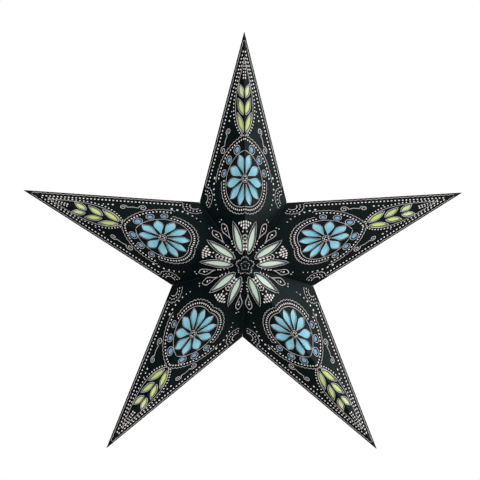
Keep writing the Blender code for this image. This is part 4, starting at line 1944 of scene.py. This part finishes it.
@dataclass
class LampHolder(Fitting):
    """The moulded holder: a threaded sleeve with a shoulder, a ribbed clamp ring and a domed cap."""

    plastic: Finish = Finish(
        "moulded_plastic", tone=(0.64, 0.62, 0.55), second_tone=(0.70, 0.68, 0.61),
        mottle=40.0, grain=1800.0, roughness=(0.36, 0.46),
    )
    contact: Finish = replace(ROLLED_BRASS, name="sprung_brass")
    sleeve_sides: int = 64
    sleeve_radius: float = 0.0135
    sleeve_bore: float = 0.0102
    sleeve_floor: float = 0.003
    shoulder_height: float = 0.0025
    shoulder_gap: float = 0.0003
    sleeve_thread_depth: float = 0.0006
    edge: float = 0.0004
    ring_play: float = 0.0005
    ring_edge: float = 0.001
    ring_ribs: int = 24
    ring_rib_depth: float = 0.0007
    cap_wall: float = 0.0018
    cap_round: float = 0.004
    cap_round_points: int = 9
    cap_ribs: int = 32
    cap_rib_depth: float = 0.0004
    sides_a_rib: int = 6
    nipple_radius: float = 0.0058
    nipple_height: float = 0.005
    nipple_pitch: float = 0.001
    nipple_thread_depth: float = 0.0003
    inlet_bore: float = 0.0038

    def sleeve(self) -> Mesh:
        """Turns the sleeve: closed top, shoulder on the wire ring, thread below, bore for the bulb.

        Returns:
            Its mesh, about the origin's upright axis.
        """
        shoulder, low, high = self.measure("holder_sleeve")
        seat = self.measure("spreader_ring")[2] + self.shoulder_gap
        body, floor = seat + self.shoulder_height, high - self.sleeve_floor
        thread = Thread(self.sleeve_radius, low + self.edge, seat - self.edge, self.sleeve_thread_depth)
        top = [(0.0, high), (self.sleeve_radius, high), (self.sleeve_radius, body), (shoulder, body)]
        top += [(shoulder, seat), (self.sleeve_radius, seat)]
        bottom = [(self.sleeve_radius - self.edge, low), (self.sleeve_bore + self.edge, low)]
        bottom += [(self.sleeve_bore, low + self.edge), (self.sleeve_bore, floor), (0.0, floor)]
        profile = rounded(top, self.edge, False) + thread.rows() + bottom
        return Lathe(self.sleeve_sides).turn(profile, False, (thread,))

    def clamp_ring(self) -> Mesh:
        """Turns the ribbed ring, screwed on from below, that clamps the wire ring.

        Returns:
            Its mesh, about the origin's upright axis.
        """
        radius, low, high = self.measure("clamp_ring")
        span = (low + self.ring_edge, high - self.ring_edge)
        ribs = GripRibs(radius, *span, self.ring_rib_depth, self.edge, self.ring_ribs)
        inner = self.sleeve_radius + self.ring_play
        profile = [(radius - self.ring_edge, high), *ribs.rows(), (radius - self.ring_edge, low)]
        profile += [(inner, low), (inner, high)]
        return Lathe(self.ring_ribs * self.sides_a_rib).turn(profile, True, (ribs,))

    def cap(self) -> Mesh:
        """Turns the hollow domed cap, ribbed round its skirt, with the threaded nipple for the lead.

        Returns:
            Its mesh, about the origin's upright axis.
        """
        radius, low, high = self.measure("holder_cap")
        top = high - self.nipple_height
        spring = top - self.cap_round
        edge, neck = self.edge, self.nipple_radius
        thread = Thread(neck, top + edge, high - edge, self.nipple_thread_depth, edge, self.nipple_pitch)
        ribs = GripRibs(radius, low + edge, spring - edge, self.cap_rib_depth, edge, self.cap_ribs)
        dome, wall = self.cap_round, self.cap_wall
        quarter = (0.0, math.pi / 2, self.cap_round_points)
        outside = oval((radius - dome, spring), (dome, dome), *quarter)
        inside = oval((radius - dome - wall / 2, spring), (dome - wall / 2, dome - wall), *quarter)
        profile = [(neck - edge, high), *thread.rows(), (neck, top), *outside, *ribs.rows()]
        profile += [(radius - edge, low), (radius - wall, low), *inside[::-1]]
        profile += [(self.inlet_bore, top - wall), (self.inlet_bore, high)]
        return Lathe(self.cap_ribs * self.sides_a_rib).turn(profile, True, (thread, ribs))

    def build(self) -> None:
        """Makes the holder's three mouldings and finishes the contact."""
        plastic = self.plastic.build()
        shapes = {"holder_sleeve": self.sleeve(), "clamp_ring": self.clamp_ring(), "holder_cap": self.cap()}
        for node, mesh in shapes.items():
            self.add_upright(node, mesh, "holder_plastic", plastic)
        self.dress("centre_contact", self.contact)


@dataclass
class Bulb(Fitting):
    """The opal bulb: a ball of glass on a neck, and its screw cap."""

    opal: Finish = Finish(
        "opal_bulb_glass", tone=(0.74, 0.74, 0.70), second_tone=(0.79, 0.79, 0.75),
        mottle=20.0, grain=300.0, roughness=(0.08, 0.16),
    )
    nickel: Finish = Finish(
        "nickel_plate", tone=(0.58, 0.57, 0.54), second_tone=(0.72, 0.71, 0.68),
        mottle=260.0, grain=900.0, roughness=(0.18, 0.34), metallic=1.0,
    )
    black_glass: Finish = Finish(
        "black_glass_insulator", tone=(0.006, 0.006, 0.007), second_tone=(0.012, 0.012, 0.014),
        mottle=200.0, grain=900.0, roughness=(0.15, 0.3),
    )
    glass_sides: int = 64
    neck_radius: float = 0.0085
    neck_flare: float = 0.0012
    flare_turn: float = 0.08
    ball_rows: int = 30
    cap_sides: int = 48
    thread_pitch: float = 0.0028
    thread_depth: float = 0.0006
    insulator_height: float = 0.0030
    shell_lip: float = 0.0008
    tip_radius: float = 0.0030
    tip_height: float = 0.0010
    tip_points: int = 5

    def glass(self) -> Mesh:
        """Turns the ball, which flows into its neck.

        Returns:
            Its mesh, about the origin's upright axis.
        """
        radius, low, high = self.measure("bulb_glass")
        centre = low + radius
        first = math.asin(self.neck_radius / radius)
        shoulder = centre + radius * math.cos(first) + self.neck_flare
        ball = oval((0.0, centre), (radius, radius), first + self.flare_turn, math.pi, self.ball_rows)
        profile = [(0.0, high), (self.neck_radius, high), (self.neck_radius, shoulder)]
        profile += [*ball[:-1], (0.0, low)]
        return Lathe(self.glass_sides).turn(profile, False)

    def screw_cap(self) -> Mesh:
        """Turns the threaded shell with a black insulator and a solder tip.

        Returns:
            Its mesh, about the origin's upright axis, with the insulator's faces in the second slot.
        """
        radius, low, high = self.measure("bulb_screw_cap")
        shell, solder = high - self.insulator_height, high - self.tip_height
        lip = radius - self.shell_lip
        span = (low + WELD, shell - self.shell_lip / 2)
        thread = Thread(radius, *span, self.thread_depth, pitch=self.thread_pitch)
        tip = oval((0.0, solder), (self.tip_radius, self.tip_height), 0.0, math.pi / 2, self.tip_points)
        profile = [*tip, (lip - self.shell_lip, shell), (lip, shell), *thread.rows(), (0.0, low)]
        mesh = Lathe(self.cap_sides).turn(profile, False, (thread,))
        for face in mesh.polygons:
            face.material_index = int(shell + WELD < face.center.z < solder)
        return mesh

    def build(self) -> None:
        """Makes the glass and the cap."""
        self.add_upright("bulb_glass", self.glass(), "opal_glass", self.opal.build())
        metals = (self.nickel.build(), self.black_glass.build())
        self.add_upright("bulb_screw_cap", self.screw_cap(), "brass", *metals)


@dataclass
class Spreader(Fitting):
    """The bent wires that hold the star open: a middle ring and two arms with ball ends."""

    zinc: Finish = Finish(
        "galvanised_zinc", tone=(0.46, 0.47, 0.50), second_tone=(0.66, 0.67, 0.70),
        mottle=260.0, grain=1200.0, relief=0.00002, roughness=(0.28, 0.48), metallic=1.0,
    )
    ring_sides: int = 72
    wire_sides: int = 16
    arm_sides: int = 32
    ball_rows: int = 16
    cut_edge: float = 0.0002

    def ring(self) -> Mesh:
        """Turns the wire ring that the holder's shoulder rests on.

        Returns:
            The ring's mesh, in its place.
        """
        middle, half = self.box("spreader_ring")
        wire, reach = half.z, half.x - half.z
        turns = [math.tau * side / self.wire_sides for side in range(self.wire_sides)]
        section = [(reach + wire * math.cos(turn), wire * math.sin(turn)) for turn in turns]
        mesh = Lathe(self.ring_sides).turn(section, True)
        mesh.transform(Matrix.Translation(middle))
        return mesh

    def arm(self, face: Face, wire: float) -> Mesh:
        """Turns one arm.

        Args:
            face: The side of the star that it reaches to.
            wire: The wire's radius.

        Returns:
            The arm's mesh, from its cut end by the ring to its ball inside the apex.
        """
        middle, half = self.box("spreader_arm_" + face.name.lower())
        radius, length = half.x, half.y * 2
        neck = math.asin(wire / radius)
        ball = oval((0.0, length - radius), (radius, -radius), neck, math.pi, self.ball_rows)
        profile = [(0.0, 0.0), (wire - self.cut_edge, 0.0), (wire, self.cut_edge), *ball[:-1], (0.0, length)]
        mesh = Lathe(self.arm_sides).turn(profile, False)
        cut_end = middle - Vector((0, face.value * half.y, 0))
        lean = Matrix.Rotation(-face.value * math.pi / 2, 4, "X")
        mesh.transform(Matrix.Translation(cut_end) @ lean)
        return mesh

    def build(self) -> None:
        """Makes the ring and both arms."""
        zinc = self.zinc.build()
        self.add("spreader_ring", self.ring(), "galvanised_wire", zinc)
        wire = self.box("spreader_ring")[1].z
        for face in Face:
            self.add("spreader_arm_" + face.name.lower(), self.arm(face, wire), "galvanised_wire", zinc)


@dataclass
class HangingPoint(Fitting):
    """The stiff tab glued inside the top tip, and the rolled eyelet in its hole."""

    board: Finish = Finish(
        "grey_board_tab", tone=(0.36, 0.33, 0.29), second_tone=(0.50, 0.46, 0.40),
        mottle=90.0, grain=1400.0, relief=0.00005,
    )
    brass: Finish = ROLLED_BRASS
    sides: int = 40
    bore: float = 0.0014
    roll_share: float = 0.8

    def eyelet(self) -> Mesh:
        """Turns the eyelet and lays it across the star's width.

        Returns:
            The eyelet's mesh, in its place.
        """
        middle, size = self.box("hanging_eyelet")
        half, radius = size.x, size.z
        section = [(radius, half), (radius, -half), (self.bore, -half), (self.bore, half)]
        roll = min(radius - self.bore, half) * self.roll_share
        mesh = Lathe(self.sides).turn(rounded(section, roll, True), True)
        mesh.transform(Matrix.Translation(middle) @ Matrix.Rotation(math.pi / 2, 4, "Y"))
        return mesh

    def build(self) -> None:
        """Makes the eyelet and finishes the tab."""
        self.dress("hanging_tab", self.board)
        self.add("hanging_eyelet", self.eyelet(), "brass", self.brass.build())


@dataclass
class ClosingSeam(Fitting):
    """The four folded flaps of the bottom seam and the halves of its two woven fasteners."""

    card: Finish = Finish(
        "flap_card_plain", tone=(0.026, 0.026, 0.027), second_tone=(0.045, 0.045, 0.046),
        mottle=30.0, grain=2600.0, relief=0.00003,
    )
    tape: Finish = Finish(
        "woven_tape", tone=(0.50, 0.50, 0.48), second_tone=(0.68, 0.68, 0.65),
        mottle=1500.0, grain=2400.0, relief=0.0002, roughness=(0.8, 0.95),
    )

    def build(self) -> None:
        """Finishes the flaps and the dots."""
        self.dress("seam_flap", self.card)
        self.dress("seam_dot", self.tape)


@dataclass(frozen=True)
class SoftLamp:
    """A soft rectangular lamp beside the star."""

    name: str
    place: Triple
    size: Span
    power: float

    def build(self, target: Vector) -> None:
        """Makes the lamp.

        Args:
            target: The middle of the star, which it stands about and looks at.
        """
        data = bpy.data.lights.new(self.name, "AREA")
        data.shape = "RECTANGLE"
        data.size, data.size_y = self.size
        data.energy = self.power
        lamp = placed(self.name, data)
        lamp.location = target + Vector(self.place)
        aim(lamp, target)


def aim(item: bpy.types.Object, target: Vector) -> None:
    """Turns an object's -Z towards a place."""
    item.rotation_euler = (target - item.location).to_track_quat("-Z", "Y").to_euler()


@dataclass(frozen=True)
class Studio:
    """The camera at the photo's angle, a pale floor and plain soft light."""

    shape: StarShape
    azimuth: float = math.radians(-1.6)
    elevation: float = math.radians(1.8)
    roll: float = math.radians(0.35)
    distance: float = 3.2
    sight: float = 50.0
    sensor: float = 36.0
    image_pixels: int = 480
    tip_pixels: float = 231.3
    star_pixel: Span = (243.0, 262.6)
    floor_drop: float = 1.8
    floor_radius: float = 5.0
    floor_sides: int = 96
    floor_white: float = 0.8
    floor_finish: Finish = Finish(
        "pale_floor", tone=(0.80, 0.80, 0.79), second_tone=(0.82, 0.82, 0.81),
        mottle=2.0, grain=40.0, relief=0.0001, roughness=(0.7, 0.8),
    )
    ambient: float = 0.84
    lamps: tuple[SoftLamp, ...] = (
        SoftLamp("key", place=(2.3, 0.75, -0.3), size=(0.6, 3.2), power=40.0),
        SoftLamp("top", place=(0.5, 0.6, 2.2), size=(1.6, 1.2), power=9.0),
    )

    def camera(self) -> None:
        """Makes the camera, framed as the photo is."""
        data = bpy.data.cameras.new("camera")
        camera = placed("camera", data)
        back = Vector((
            math.sin(self.azimuth) * math.cos(self.elevation),
            -math.cos(self.azimuth) * math.cos(self.elevation),
            math.sin(self.elevation),
        ))
        metre = self.tip_pixels / self.shape.tip_radius
        right = Vector((math.cos(self.azimuth), math.sin(self.azimuth), 0.0))
        up = back.cross(right)
        half = self.image_pixels / 2
        shift = right * ((half - self.star_pixel[0]) / metre) + up * ((self.star_pixel[1] - half) / metre)
        target = self.shape.centre + shift
        camera.location = target + back * self.distance
        aim(camera, target)
        camera.rotation_euler.rotate_axis("Z", self.roll)
        data.sensor_width = self.sensor
        data.lens = self.sensor * metre * self.distance / self.image_pixels
        data.clip_end = self.sight
        bpy.context.scene.camera = camera

    def floor_material(self) -> Material:
        """Makes the floor's finish nearly white to the camera and clear from below.

        Returns:
            The material.
        """
        material = self.floor_finish.build()
        nodes = NodeWriter(material.node_tree)
        matt = material.node_tree.nodes["Principled BSDF"].outputs["BSDF"]
        seen = nodes.add("ShaderNodeLightPath").outputs["Is Camera Ray"]
        white = nodes.add("ShaderNodeEmission").outputs["Emission"]
        pale = {"Fac": nodes.calculate("MULTIPLY", seen, self.floor_white), 1: matt, 2: white}
        below = {
            "Fac": nodes.add("ShaderNodeNewGeometry").outputs["Backfacing"],
            1: nodes.add("ShaderNodeMixShader", pale).outputs["Shader"],
            2: nodes.add("ShaderNodeBsdfTransparent").outputs["BSDF"],
        }
        surface = nodes.add("ShaderNodeMixShader", below).outputs["Shader"]
        nodes.fill(material.node_tree.nodes["Material Output"], {"Surface": surface})
        return material

    def floor(self) -> None:
        """Makes the pale floor below the hanging star."""
        mesh = bpy.data.meshes.new("floor")
        with reworked(mesh, shell=False) as work:
            bmesh.ops.create_circle(work, cap_ends=True, radius=self.floor_radius, segments=self.floor_sides)
        mesh.transform(Matrix.Translation((0, 0, self.shape.centre.z - self.floor_drop)))
        placed("floor", mesh, self.floor_material())

    def world(self) -> None:
        """White where the camera, gloss or glass sees the background; a plain level of light elsewhere."""
        world = bpy.data.worlds.new("studio")
        bpy.context.scene.world = world
        world.use_nodes = True
        nodes = NodeWriter(world.node_tree)
        rays = nodes.add("ShaderNodeLightPath").outputs
        seen = nodes.calculate("MAXIMUM", rays["Is Camera Ray"], rays["Is Glossy Ray"])
        clear = nodes.calculate("MAXIMUM", seen, rays["Is Transmission Ray"])
        strength = nodes.remap(clear, target=(self.ambient, 1.0))
        nodes.fill(world.node_tree.nodes["Background"], {"Color": (*WHITE, 1.0), "Strength": strength})

    def build(self) -> None:
        """Makes the whole studio."""
        self.camera()
        self.floor()
        for lamp in self.lamps:
            lamp.build(self.shape.centre)
        self.world()
        bpy.context.scene.view_settings.view_transform = "Standard"


def clear_scene() -> None:
    """Removes whatever the start-up file holds."""
    for item in list(bpy.data.objects):
        bpy.data.objects.remove(item)


def main() -> None:
    """Loads the frame, dresses the star and its fittings, and sets up the studio."""
    logging.basicConfig(level=logging.INFO, format="%(name)s: %(message)s")
    clear_scene()
    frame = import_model()
    body = StarBody()
    Studio(body.shape).build()
    body.build()
    for fitting in (LampHolder, Bulb, Spreader, HangingPoint, ClosingSeam):
        fitting(frame["nodes"]).build()


if __name__ == "__main__":
    main()
